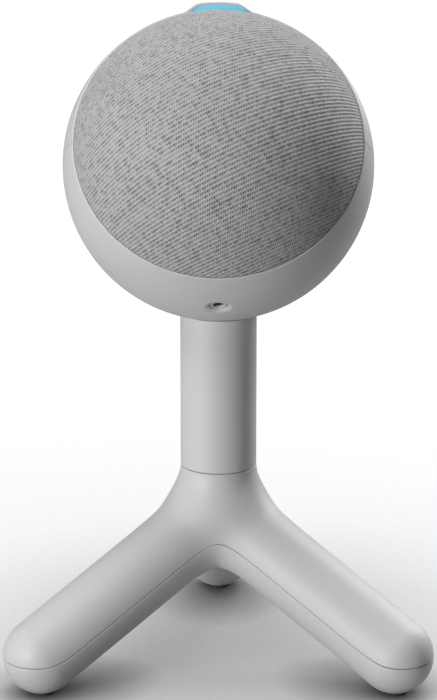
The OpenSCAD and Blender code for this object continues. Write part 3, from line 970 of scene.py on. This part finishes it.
@dataclass
class Column(Piece):
    """The straight column, its softened ends and the cup under the ball."""

    def build(self) -> None:
        """Makes the column."""
        s = self.sizes
        r, low = s.column_r, s.column_z
        cup = s.ball_r + s.seat_gap

        def cup_z(at: float) -> float:
            """Height of the cup's face at a radius."""
            return s.ball_z - math.sqrt(cup**2 - at**2)

        top = low + s.column_len
        foot = low - 0.12
        profile = [(r - 6, foot), (r - 0.25, foot), (r - 0.1, foot + 0.04), (r - 0.03, foot + 0.12)]
        profile += [(r, foot + 0.25)]
        profile += [(r, low + (top - low) * i / 12) for i in range(1, 12)]
        near = s.ball_z - math.sqrt((s.ball_r + 0.1) ** 2 - (r - 0.25) ** 2)
        profile += [(r, top - 0.1), (r - 0.03, near - 0.12), (r - 0.1, near - 0.04), (r - 0.25, near)]
        profile += [(x, cup_z(x)) for x in (r - 1, r - 2, r - 3)]
        self.place("column", lathe(profile, 160), s.stand(), Role.SHELL, "column", "shell", ["column_tube"])


@dataclass
class HeadPiece(Piece):
    """A piece of the ball, with helpers in the head's own frame."""

    @property
    def rim(self) -> float:
        """Angle of the fabric's edge, radians."""
        return math.radians(self.sizes.fabric_angle)

    @staticmethod
    def polar(theta: np.ndarray, phi: np.ndarray, r: np.ndarray) -> np.ndarray:
        """Positions from angles and radii.

        Args:
            theta: angle from the fabric's middle.
            phi: angle round from the crown towards +X.
            r: radius.

        Returns:
            (..., 3) positions.
        """
        theta, phi, r = np.broadcast_arrays(theta, phi, r)
        return np.stack(
            [r * np.sin(theta) * np.sin(phi), r * np.sin(theta) * np.cos(phi), r * np.cos(theta)], -1
        )

    @staticmethod
    def sheet(points: np.ndarray, normals: np.ndarray, wrap: bool = False) -> Surface:
        """Joins a grid of points into triangles that face along its normals.

        Args:
            points: (rows, columns, 3) positions.
            normals: the same shape.
            wrap: whether the last column joins the first.

        Returns:
            The surface.
        """
        rows, cols = points.shape[:2]
        ids = np.arange(rows * cols).reshape(rows, cols)
        nxt = np.roll(ids, -1, axis=1) if wrap else ids[:, 1:]
        here = ids if wrap else ids[:, :-1]
        a, b, c, d = here[:-1], nxt[:-1], nxt[1:], here[1:]
        faces = np.vstack([np.stack(f, -1).reshape(-1, 3) for f in ((a, b, c), (a, c, d))])
        p, n = points.reshape(-1, 3), normals.reshape(-1, 3)
        n = n / np.maximum(np.linalg.norm(n, axis=1, keepdims=True), 1e-9)
        flat = np.cross(p[faces[:, 1]] - p[faces[:, 0]], p[faces[:, 2]] - p[faces[:, 0]])
        wrong = (flat * n[faces].sum(1)).sum(1) < 0
        faces[wrong] = faces[wrong][:, ::-1]
        return Surface(p, n, faces)

    def brow_height(self, x: np.ndarray) -> np.ndarray:
        """Height of the brow above the ball at the rim.

        Args:
            x: distance to the side, millimetres.

        Returns:
            Heights.
        """
        s = self.sizes
        return s.brow_h * (1 - smoothstep(s.brow_flat, s.brow_end, np.abs(x)))

    def skin(self, p: np.ndarray) -> np.ndarray:
        """Distance outside the rear shells' skin, brow included.

        Args:
            p: (n, 3) positions.

        Returns:
            Distances.
        """
        r = np.linalg.norm(p, axis=1)
        back = (np.arccos(np.clip(p[:, 2] / r, -1, 1)) - self.rim) * self.sizes.ball_r
        crown = smoothstep(0, 10, p[:, 1])
        return r - self.sizes.ball_r - self.brow_height(p[:, 0]) * crown * (1 - smoothstep(2, 17, back))


@dataclass
class Shells(HeadPiece):
    """The two rear shells, with the brow, the sockets' recesses and the buttons' holes.

    Attributes:
        half_gap: half the width of the line between the shells.
        lip: width of the shells' visible edge round the fabric.
        dish_r: radius of the dish round the audio socket.
    """

    half_gap: float = 0.11
    lip: float = 0.38
    dish_r: float = 4.55

    def grids(self) -> "tuple[np.ndarray, np.ndarray]":
        """Angles of the mesh's rows and columns, closer together near details.

        Returns:
            (theta, phi).
        """
        theta = np.concatenate([
            self.rim + np.array([0, 0.15, 0.4, 0.8]) / 50,
            np.arange(self.rim + 1.3 / 50, math.radians(124), 0.010),
            np.linspace(math.radians(124.4), math.radians(179.9), 42),
        ])
        fine, mid = math.radians(0.55), math.radians(1.7)
        phi = np.concatenate([
            np.arange(-math.radians(25), math.radians(25), fine),
            np.arange(math.radians(25.4), math.radians(168), mid),
            np.arange(math.radians(169), math.radians(191), math.radians(0.7)),
            np.arange(math.radians(192.3), math.radians(334.2), mid),
        ])
        return theta, phi

    def front_edge(self, phi: np.ndarray) -> Surface:
        """The shells' front edge, which frames the light under the brow.

        Args:
            phi: the mesh's columns.

        Returns:
            The strip.
        """
        s = self.sizes
        x = s.ball_r * math.sin(self.rim) * np.sin(phi)
        crown = smoothstep(0, 10, s.ball_r * np.cos(phi))
        high = s.ball_r + self.brow_height(x) * crown
        window = smoothstep(8.95, 8.35, np.abs(x)) * (np.cos(phi) > 0)
        seat = s.ball_r - self.lip
        low = seat * (1 - window) + np.maximum(high - s.brow_lip + 0.07, seat) * window
        rows = []
        for along, drop in ((0, 0.0), (-0.06, 0.03), (-0.18, 0.14), (-0.32, 0.29), (-0.36, 0.36)):
            rows.append((along, high - drop))
        for along, rise in ((-0.36, 0.04), (-0.33, 0.01), (0.0, 0.0), (0.4, 0.0), (3.0, 0.0)):
            rows.append((along, np.minimum(low + rise, high - 0.2)))
        theta = np.stack([np.full_like(phi, self.rim + a / s.ball_r) for a, _ in rows])
        r = np.stack([row for _, row in rows])
        points = self.polar(theta, phi[None], r)
        d_theta = np.gradient(theta * s.ball_r, axis=0)
        d_r = np.gradient(r, axis=0)
        e_r = self.polar(theta, phi[None], 1.0)
        e_t = self.polar(theta + math.pi / 2, phi[None], 1.0)
        return self.sheet(points, d_r[..., None] * e_t - d_theta[..., None] * e_r, wrap=True)

    def round_hole(self, surface: Surface, axis: tuple, centre: tuple, radius: float, rows: list) -> Surface:
        """Cuts a round hole with a rolled edge.

        Args:
            surface: the skin.
            axis: direction of the hole.
            centre: a point on its axis.
            radius: its radius.
            rows: the roll, as Surface.lip takes it.

        Returns:
            The skin with its hole.
        """
        axis, centre = np.asarray(axis, float), np.asarray(centre, float)

        def reach(p: np.ndarray) -> np.ndarray:
            """From the hole's axis to each position."""
            d = p - centre
            return d - (d @ axis)[:, None] * axis

        value = np.linalg.norm(reach(surface.points), axis=1) - radius
        value = np.where(surface.points @ axis > 0, value, 9.0)
        cut, edge = surface.clipped(value)
        rim = np.unique(edge)
        side = reach(cut.points[rim])
        size = np.linalg.norm(side, axis=1, keepdims=True)
        cut.points[rim] += side * (radius / size - 1)
        return cut.joined(cut.lip(edge, lambda p, n: -reach(p), rows))

    def build(self) -> None:
        """Makes the upper and the lower shell."""
        s = self.sizes
        theta, phi = self.grids()
        t, f = np.meshgrid(theta, phi, indexing="ij")
        points = self.polar(t, f, s.ball_r)
        for _ in range(3):
            flat = points.reshape(-1, 3)
            r = np.linalg.norm(flat, axis=1)
            points = (flat * ((r - self.skin(flat)) / r)[:, None]).reshape(points.shape)
        _, normals = field_normal(self.skin, points.reshape(-1, 3))
        skin = self.sheet(points, normals.reshape(points.shape), wrap=True)
        edge = self.front_edge(phi)
        aux = math.radians(s.aux_angle)
        aux_dir = np.array([0, -math.sin(aux), math.cos(aux)])
        recess = [(0.12, 0.01), (0.3, 0.05), (0.7, 0.18), (1.15, 0.38), (1.4, 0.52), (1.51, 0.63),
                  (1.55, 0.8), (1.55, 4.0)]
        roll = [(0.05, 0.015), (0.10, 0.07), (0.12, 0.2), (0.12, 2.0)]
        halves = ((1, "upper_rear_shell", "upper_shell"), (-1, "lower_rear_shell", "lower_shell"))
        for side, name, node in halves:
            half, cut = skin.clipped(side * skin.points[:, 1] - self.half_gap - 0.1)
            half = half.joined(half.lip(cut, (0, -side, 0), roll))
            if side < 0:
                half = self.round_hole(half, aux_dir, (0, 0, 0), self.dish_r, recess)
                rim = [(0.06, 0.02), (0.12, 0.1), (0.15, 0.25), (0.15, 2.2)]
                half = self.round_hole(half, (0, 0, -1), (0, Inlet.OFFSET, 0), Inlet.RADIUS, rim)
            else:
                half = self.button_holes(half)
            front, _ = edge.clipped(side * edge.points[:, 1] - self.half_gap)
            self.place(name, half.joined(front), s.head(), Role.SHELL, "head", "shell", [node])

    def button_holes(self, half: Surface) -> Surface:
        """Cuts the buttons' and microphones' holes.

        Args:
            half: the upper shell.

        Returns:
            The shell with its holes.
        """
        a = math.radians(Buttons.ANGLE)
        axis = np.array([0, math.sin(a), math.cos(a)])
        edge = [(0.08, 0.02), (0.16, 0.1), (0.2, 0.25), (0.2, 1.8)]
        for x in Buttons.PLACES.values():
            half = self.round_hole(half, axis, (x, 0, 0), Buttons.RADIUS + Buttons.GAP, edge)
        pinhole = [(0.03, 0.02), (0.05, 0.1), (0.05, 1.5)]
        for x in Buttons.MICROPHONES:
            half = self.round_hole(half, axis, (x, 0, 0), Buttons.MICROPHONE_R, pinhole)
        return half


@dataclass
class CrownLight(HeadPiece):
    """The lit window under the brow.

    Attributes:
        half_w: half its width.
        under: how far it goes up under the brow's lip.
        deep: how far its lower edge lies under the ball's skin.
        back: how far its face is set back from the shells' edge.
        bulge: how far the face's edges and then its middle stand out again.
    """

    half_w: float = 9.3
    under: float = 0.25
    deep: float = 0.75
    back: float = 0.42
    bulge: tuple = (0.16, 0.10)

    def build(self) -> None:
        """Makes the diffuser's visible face and its sides."""
        s = self.sizes
        x = np.linspace(-self.half_w, self.half_w, 75)
        phi = np.arcsin(x / (s.ball_r * math.sin(self.rim)))
        high = s.ball_r + np.maximum(self.brow_height(x) - s.brow_lip + self.under, -0.2)
        low = np.full_like(x, s.ball_r - self.deep)
        t = np.linspace(0, 1, 7)[:, None]
        r = low + (high - low) * t
        bulge = self.bulge[0] + self.bulge[1] * (1 - (2 * t - 1) ** 2)
        theta = self.rim + (self.back - bulge) / s.ball_r + 0 * r
        e_t = self.polar(theta + math.pi / 2, phi[None], 1.0)
        face = self.sheet(self.polar(theta, phi[None], r), -e_t)
        back = np.array([0.2, 5.0])[:, None] / s.ball_r + self.rim
        top = self.sheet(self.polar(back, phi[None], high[None]), self.polar(back, phi[None], 1.0))
        self.place("crown_light", face.joined(top), s.head(), Role.LIGHT, "head", "light", ["light_lens"])


@dataclass
class Fabric(HeadPiece):
    """The knitted cover, stretched over the front of the ball.

    Attributes:
        stitch: width of a stitch, millimetres.
        row: height of a row.
        turn: how far the rows are turned from level, degrees.
        shift: how far each row starts along from the one below, in stitches.
        step: mesh step.
        relief: depth of the stitches.
        uneven: how much a stitch's height varies, as a share of the relief.
        row_limit: a number above the stitches of any row, which keeps their seeds apart.
        hem_gap: width of the line between the cover and the shells.
        hem_width: width of the edge that turns in.
    """

    stitch: float = 0.857
    row: float = 1.35
    turn: float = 25.8
    shift: float = 0.2
    step: float = 0.3375
    relief: float = 0.12
    uneven: float = 0.25
    row_limit: float = 211.0
    hem_gap: float = 0.33
    hem_width: float = 0.35

    def build(self) -> None:
        """Makes the cover, with its stitches as relief and as coordinates."""
        s = self.sizes
        radius = s.fabric_r - self.relief
        reach = self.rim * radius + 3
        u = np.arange(-reach, reach, self.step)
        uu, vv = np.meshgrid(u, u)
        turn = math.radians(self.turn)
        across = uu * math.cos(turn) - vv * math.sin(turn)
        up = uu * math.sin(turn) + vv * math.cos(turn)
        away = np.hypot(across, up) + 1e-9
        ring = np.sin(away / radius) / away
        unit = np.stack([across * ring, up * ring, np.cos(away / radius)], -1)
        su, sv = uu / self.stitch, vv / self.row
        edge = self.rim - self.hem_gap / radius
        angle = np.arccos(np.clip(unit[..., 2], -1, 1))
        inset = 1 - smoothstep(0, self.hem_width, (edge - angle) * radius)
        points = unit * (radius - 0.12 * inset**2)[..., None]
        value = (edge - angle) * radius
        du = np.gradient(points, axis=1)
        dv = np.gradient(points, axis=0)
        normals = np.cross(du, dv)
        normals *= np.sign((normals * unit).sum(-1, keepdims=True))
        grid = self.sheet(points, normals)
        held = np.column_stack([grid.points, su.ravel(), sv.ravel(), 1 - inset.ravel()])
        carried = Surface(held, grid.normals, grid.faces)
        keep = value.ravel()[carried.faces].max(1) > 0
        carried.faces = carried.faces[keep]
        cut, edge_pairs = carried.clipped(value.ravel())
        hem = cut.points[:, :3]
        flat = Surface(hem, cut.normals, cut.faces)
        turned = flat.lip(edge_pairs, (0, 0, -1), [(0.05, 0.12), (0.06, 0.5)])
        used = np.unique(edge_pairs)
        strip_uv = np.tile(cut.points[used][:, 3:] * (1, 1, 0), (3, 1))
        whole = flat.joined(turned)
        coords = np.vstack([cut.points[:, 3:], strip_uv])
        self.finish(whole, coords)

    def knit_tree(self) -> bpy.types.NodeTree:
        """A node tree that raises a surface's ribs from its stitch coordinates.

        Returns:
            The tree, with inputs Shift, Relief, Uneven, Seed and Cloth.
        """
        kinds = (("Geometry", "Geometry"), ("Shift", "Float"), ("Relief", "Float"), ("Uneven", "Float"),
                 ("Seed", "Int"), ("Cloth", "Material"))
        ends = {name: (kind, None) for name, kind in kinds}
        graph = Graph.group("knit relief", "Geometry", ends, {"Geometry": "Geometry"})
        maths, source = graph.maths, graph.source
        named = "GeometryNodeInputNamedAttribute"
        stitch = graph.add(named, {"Name": "stitches"}, data_type="FLOAT_VECTOR").outputs["Attribute"]
        hem = graph.add(named, {"Name": "hem"}, data_type="FLOAT").outputs["Attribute"]
        row, along, gap, wave = graph.lattice(stitch, source["Shift"])
        hole = maths("MULTIPLY_ADD", wave, 0.375, 0.625)
        cell = maths("MULTIPLY_ADD", row, self.row_limit, maths("FLOOR", along))
        chance = graph.add("FunctionNodeRandomValue", {"ID": cell, "Seed": source["Seed"]}, data_type="FLOAT")
        uneven = maths("MULTIPLY", maths("SUBTRACT", chance.outputs[1], 1.0), source["Uneven"])
        high = maths("ADD", maths("SUBTRACT", 1.0, maths("MULTIPLY", gap, hole)), uneven)
        high = maths("MULTIPLY", maths("MULTIPLY", high, source["Relief"]), hem)
        out = graph.add("GeometryNodeInputNormal").outputs["Normal"]
        move = graph.add("ShaderNodeVectorMath", {0: out, "Scale": high}, operation="SCALE").outputs[0]
        shape = source["Geometry"]
        for kind, inputs in (("SetPosition", {"Offset": move}), ("RealizeInstances", {}),
                             ("SetMaterial", {"Material": source["Cloth"]})):
            shape = graph.add("GeometryNode" + kind, {"Geometry": shape, **inputs}).outputs["Geometry"]
        graph.put(shape, graph.target["Geometry"])
        return graph.tree

    def finish(self, surface: Surface, coords: np.ndarray) -> None:
        """Args:
            surface: the cover.
            coords: one stitch coordinate per vertex.
        """
        s = self.sizes
        used = np.unique(surface.faces[self.area(surface) > 1e-9])
        obj = make_object("knitted_cover", surface, s.head(), self.palette[Role.KNIT])
        mesh = obj.data
        layer = mesh.uv_layers.new(name="stitches")
        loops = np.zeros(len(mesh.loops), np.int32)
        mesh.loops.foreach_get("vertex_index", loops)
        layer.data.foreach_set("uv", coords[used][loops][:, :2].astype(np.float32).ravel())
        hem = mesh.attributes.new("hem", "FLOAT", "POINT")
        hem.data.foreach_set("value", coords[used, 2].astype(np.float32))
        grow(obj, self.knit_tree(), Shift=self.shift, Relief=self.relief * MM, Uneven=self.uneven, Seed=7,
             Cloth=self.palette[Role.KNIT])
        obj.data.attributes.remove(obj.data.attributes["hem"])
        self.tie(obj, "head", "knit", ["fabric_cover"])

    @staticmethod
    def area(surface: Surface) -> np.ndarray:
        """Twice the area of each triangle.

        Args:
            surface: the triangles.

        Returns:
            One number each.
        """
        a, b, c = (surface.points[surface.faces[:, i]] for i in range(3))
        return np.linalg.norm(np.cross(b - a, c - a), axis=1)


@dataclass
class AuxSocket(HeadPiece):
    """The audio socket's collar and its dark hole.

    Attributes:
        sunk: how far its face lies under the ball's skin.
        collar: radius of the collar.
        hole: radius of the hole.
        deep: depth of the hole.
    """

    sunk: float = 0.85
    collar: float = 2.7
    hole: float = 1.8
    deep: float = 8.0

    def build(self) -> None:
        """Makes the collar and the hole."""
        s = self.sizes
        turn = s.head() @ Matrix.Rotation(math.radians(s.aux_angle), 4, "X")
        face, c, h, end = s.ball_r - self.sunk, self.collar, self.hole, s.ball_r - self.sunk - self.deep
        rounds = [(c, -2.5), (c, -0.18), (c - 0.06, -0.05), (c - 0.18, 0), (h + 0.25, 0), (h + 0.12, -0.05),
                  (h + 0.03, -0.2), (h, -0.45), (h, -0.9)]
        collar = lathe([(r, face + z) for r, z in rounds], 64)
        self.place("audio_socket", collar, turn, Role.SOCKET, "head", "grey_plastic", ["aux_socket"])
        inner = h - 0.01
        bore = [(inner, face - 0.9), (inner, end + 0.2), (h - 0.1, end + 0.05), (h / 2, end), (0.02, end)]
        back = lathe(bore, 48)
        self.place("audio_socket_bore", back, turn, Role.HOLE, "head", "grey_plastic")


@dataclass
class Inlet(HeadPiece):
    """The recess round the power inlet at the rear."""

    OFFSET = -9.0
    RADIUS = 7.0
    DEEP = 1.8
    SLOT_HALF_W = 4.55
    SLOT_HALF_H = 1.7

    def build(self) -> None:
        """Makes the recess's floor with its slot."""
        s = self.sizes
        floor = -(s.ball_r - self.DEEP)
        r, a = np.linspace(0.01, self.RADIUS + 0.2, 60), np.linspace(0, TURN, 181)[:-1]
        rr, aa = np.meshgrid(r, a, indexing="ij")
        points = np.stack([rr * np.cos(aa), rr * np.sin(aa) + self.OFFSET, np.full_like(rr, floor)], -1)
        disc = self.sheet(points, np.zeros_like(points) + [0, 0, -1.0], wrap=True)

        def slot(p: np.ndarray) -> np.ndarray:
            """Distance outside the plug's slot."""
            across = np.maximum(np.abs(p[:, 0]) - (self.SLOT_HALF_W - self.SLOT_HALF_H), 0)
            return np.hypot(across, p[:, 1] - self.OFFSET) - self.SLOT_HALF_H

        cut, edge = disc.clipped(slot(disc.points))
        ring = cut.lip(edge, lambda p, n: -field_normal(slot, p)[1], [(0.04, 0.02), (0.06, 0.1), (0.06, 1.5)])
        self.place("inlet_recess", cut.joined(ring), s.head(), Role.SHELL, "head", "shell")


@dataclass
class Buttons(HeadPiece):
    """The three buttons on the upper rear."""

    ANGLE = 108.0
    RADIUS = 4.2
    GAP = 0.5
    PROUD = 0.55
    MICROPHONES = (-7.0, 7.0)
    MICROPHONE_R = 0.6
    PLACES = {"action_button": 0.0, "volume_down_button": -14.0, "volume_up_button": 14.0}

    def build(self) -> None:
        """Makes each cap."""
        s = self.sizes
        turn = s.head() @ Matrix.Rotation(-math.radians(self.ANGLE), 4, "X")
        angle = np.linspace(0, TURN, 97)[:-1]
        for name, x in self.PLACES.items():
            rows = [(0.01, 0.0), (1.5, 0.0), (3.0, 0.0)]
            rounding = ((0.5, 0.02), (0.2, 0.1), (0.06, 0.24), (0, 0.45), (0, 3.2))
            rows += [(self.RADIUS - a, b) for a, b in rounding]
            points, normals = [], []
            for k, (r, drop) in enumerate(rows):
                a, b = rows[max(k - 1, 0)], rows[min(k + 1, len(rows) - 1)]
                d = np.array([b[0] - a[0], a[1] - b[1]])
                d /= np.linalg.norm(d)
                u, v = r * np.cos(angle), r * np.sin(angle)
                z = np.sqrt((s.ball_r + self.PROUD) ** 2 - (x + u) ** 2 - v**2) - drop
                points.append(np.stack([x + u, v, z], -1))
                lean = (x / s.ball_r) * max(d[0], 0)
                side = -d[1] * np.cos(angle) + lean
                normals.append(np.stack([side, -d[1] * np.sin(angle), np.full_like(u, d[0])], -1))
            cap = self.sheet(np.array(points), np.array(normals), wrap=True)
            self.place(name + "_cap", cap, turn, Role.SHELL, name, "shell", [name])


@dataclass
class Inside(Piece):
    """The pieces that keep their solids' shapes: fixings, works and feet."""

    WEARS = {
        Role.RUBBER: ("foot_pad_rear", "foot_pad_left", "foot_pad_right", "seat_ring", "driver_gasket",
                      "driver_surround"),
        Role.IRON: ("leg_weight_rear", "leg_weight_left", "leg_weight_right"),
        Role.STEEL: ("base_screws", "swivel_spindle", "spindle_nut", "spring_washer", "keeper_plate",
                     "driver_top_plate", "driver_yoke", "shield_can", "usb_inlet", "baffle_screws",
                     "driver_screws", "board_screws"),
        Role.NICKEL: ("seat_magnet",),
        Role.WHITE: ("friction_washer", "swivel_bush"),
        Role.GREY: ("magnet_holder", "grille_dome"),
        Role.BLACK: ("baffle", "driver_basket", "back_chamber", "button_switches", "board_parts"),
        Role.BOARD: ("light_board", "button_board", "main_board", "usb_board"),
        Role.LED: ("light_leds",),
        Role.GOLD: ("microphones",),
        Role.SPIDER: ("driver_spider",),
        Role.FERRITE: ("driver_magnet",),
        Role.PAPER: ("driver_cone", "dust_cap"),
        Role.COPPER: ("voice_coil", "antenna"),
        Role.ALUMINIUM: ("heat_spreader",),
    }

    def build(self) -> None:
        """Gives each solid that stays its finish."""
        for role, names in self.WEARS.items():
            for name in names:
                for slot in bpy.data.objects[name].material_slots:
                    slot.material = self.palette[role]
            log.info("%s: %s", role.value, ", ".join(names))


# ------------------------------------------------------------------ stage


@dataclass
class Stage:
    """The pale floor, the soft lights and the camera.

    Attributes:
        sizes: the shared sizes.
        focal: focal length over the long side's 36 mm.
        far: distance of the camera from the column's axis.
        high: height of the camera.
        pitch: how far the camera looks down, degrees.
        aim: what the lights point at, metres.
        pool_r: radius over which the floor's painted glow changes, metres.
        painted_pool: share of that radius and of the painted glow, from the middle out; the glow is darker
            near the middle, as painted shade.
        painted_shades: distance and strength of the wide painted shade and of the painted shade at the feet.
        lights: name, place, size in metres and power of each.
    """

    sizes: Sizes
    focal: float = 135.63
    far: float = 832.04
    high: float = 336.6
    pitch: float = 15.47
    aim: tuple = (0.0, 0.0, 0.14)
    pool_r: float = 0.5
    painted_pool: tuple = ((0.0, 0.62), (0.12, 0.67), (0.2, 0.78), (0.26, 0.84), (0.43, 0.87), (1.0, 0.95))
    painted_shades: tuple = ((0.35, 1.0), (0.02, 1.1))
    lights: list = field(default_factory=lambda: [
        ("key", (-0.99, -0.99, 0.30), 0.55, 15.8),
        ("key_high", (-0.64, -0.64, 1.21), 0.55, 4.2),
        ("left", (-0.89, -0.16, 1.21), 0.55, 2.6),
        ("top", (0.0, -0.12, 1.53), 0.55, 6.2),
        ("rim", (0.93, 0.93, 0.62), 0.55, 10.0),
        ("rim_high", (0.64, 0.64, 1.21), 0.55, 11.5),
        ("back", (-1.0, 0.55, 0.95), 0.55, 1.2),
    ])

    def build(self) -> None:
        """Makes the floor, the lights, the world and the camera."""
        self.floor()
        world = bpy.data.worlds.new("studio")
        bpy.context.scene.world = world
        world.use_nodes = True
        sky = world.node_tree.nodes["Background"]
        sky.inputs["Color"].default_value = (1, 1, 1, 1)
        sky.inputs["Strength"].default_value = 0.02
        bpy.context.scene.view_settings.view_transform = "Standard"
        for name, at, size, power in self.lights:
            data = bpy.data.lights.new(name, "AREA")
            data.shape, data.size, data.energy = "DISK", size, power
            lamp = bpy.data.objects.new(name, data)
            lamp.location = at
            lamp.rotation_euler = (Vector(self.aim) - Vector(at)).to_track_quat("-Z", "Y").to_euler()
            bpy.context.scene.collection.objects.link(lamp)
        self.camera()

    def floor(self) -> None:
        """A plain pale floor, lit for the camera by painted light: a glow that is darker round the middle and
        brighter outwards, times painted shade round what stands on it; other rays see a plain grey floor.
        """
        half = 6.0
        corners = [(-half, -half, 0), (half, -half, 0), (half, half, 0), (-half, half, 0)]
        mesh = bpy.data.meshes.new("floor")
        mesh.from_pydata(corners, [], [(0, 1, 2, 3)])
        material, graph, shader = Palette.blank("floor")
        shader.inputs["Roughness"].default_value = 0.8
        shader.inputs["Specular IOR Level"].default_value = 0.1
        shader.inputs["Emission Color"].default_value = (1, 1, 1, 1)
        # painted light: the camera sees the floor by its glow, on a dark base; other rays see a grey floor.
        seen = graph.add("ShaderNodeLightPath").outputs["Is Camera Ray"]
        tone = graph.add("ShaderNodeMix", {
            "A": (0.35, 0.35, 0.35, 1), "B": (0.10, 0.10, 0.10, 1), "Factor": seen}, data_type="RGBA")
        where = graph.add("ShaderNodeTexCoord").outputs["Object"]
        reach = graph.add("ShaderNodeVectorMath", {0: where}, operation="LENGTH").outputs["Value"]
        # painted shade: the glow is darker near the middle of the floor and brighter outwards.
        pool_share = graph.add("ShaderNodeMapRange", {"From Max": self.pool_r, "Value": reach}).outputs["Result"]
        painted_pool = graph.add("ShaderNodeValToRGB", {"Fac": pool_share})
        stops = painted_pool.color_ramp.elements
        for place, value in self.painted_pool:
            stop = stops[0] if place == 0 else stops.new(place)
            stop.color = (value, value, value, 1)
        stops.remove(stops[-1])
        # painted shade: ambient occlusion darkens the floor's glow round what stands on it, widely and close
        # to the feet.
        painted_shades = []
        for distance, power in self.painted_shades:
            shade = graph.add("ShaderNodeAmbientOcclusion", {"Distance": distance}, samples=8)
            painted_shades.append(graph.maths("POWER", shade.outputs["AO"], power))
        glow = graph.maths("MULTIPLY", painted_pool.outputs["Color"], graph.maths("MULTIPLY", *painted_shades))
        graph.put(tone.outputs["Result"], shader.inputs["Base Color"])
        graph.put(graph.maths("MULTIPLY", glow, seen), shader.inputs["Emission Strength"])
        mesh.materials.append(material)
        obj = bpy.data.objects.new("floor", mesh)
        bpy.context.scene.collection.objects.link(obj)

    def camera(self) -> None:
        """The camera at the fitted place."""
        data = bpy.data.cameras.new("camera")
        data.sensor_width, data.lens = 36.0, self.focal
        data.clip_start, data.clip_end = 0.05, 50
        cam = bpy.data.objects.new("camera", data)
        cam.location = Vector((0, self.sizes.axis_y - self.far, self.high)) * MM
        cam.rotation_euler = (math.radians(90 - self.pitch), 0, 0)
        bpy.context.scene.collection.objects.link(cam)
        bpy.context.scene.camera = cam


def main() -> None:
    """Builds every piece, then the stage."""
    logging.basicConfig(level=logging.INFO, format="%(name)s %(levelname)s %(message)s")
    bpy.ops.wm.read_factory_settings(use_empty=True)
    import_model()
    sizes, palette = Sizes(), Palette()
    for kind in (Stand, Column, Shells, CrownLight, Fabric, AuxSocket, Inlet, Buttons, Inside):
        log.info("building %s", kind.__name__)
        kind(sizes, palette).build()
    Stage(sizes).build()


if __name__ == "__main__":
    main()
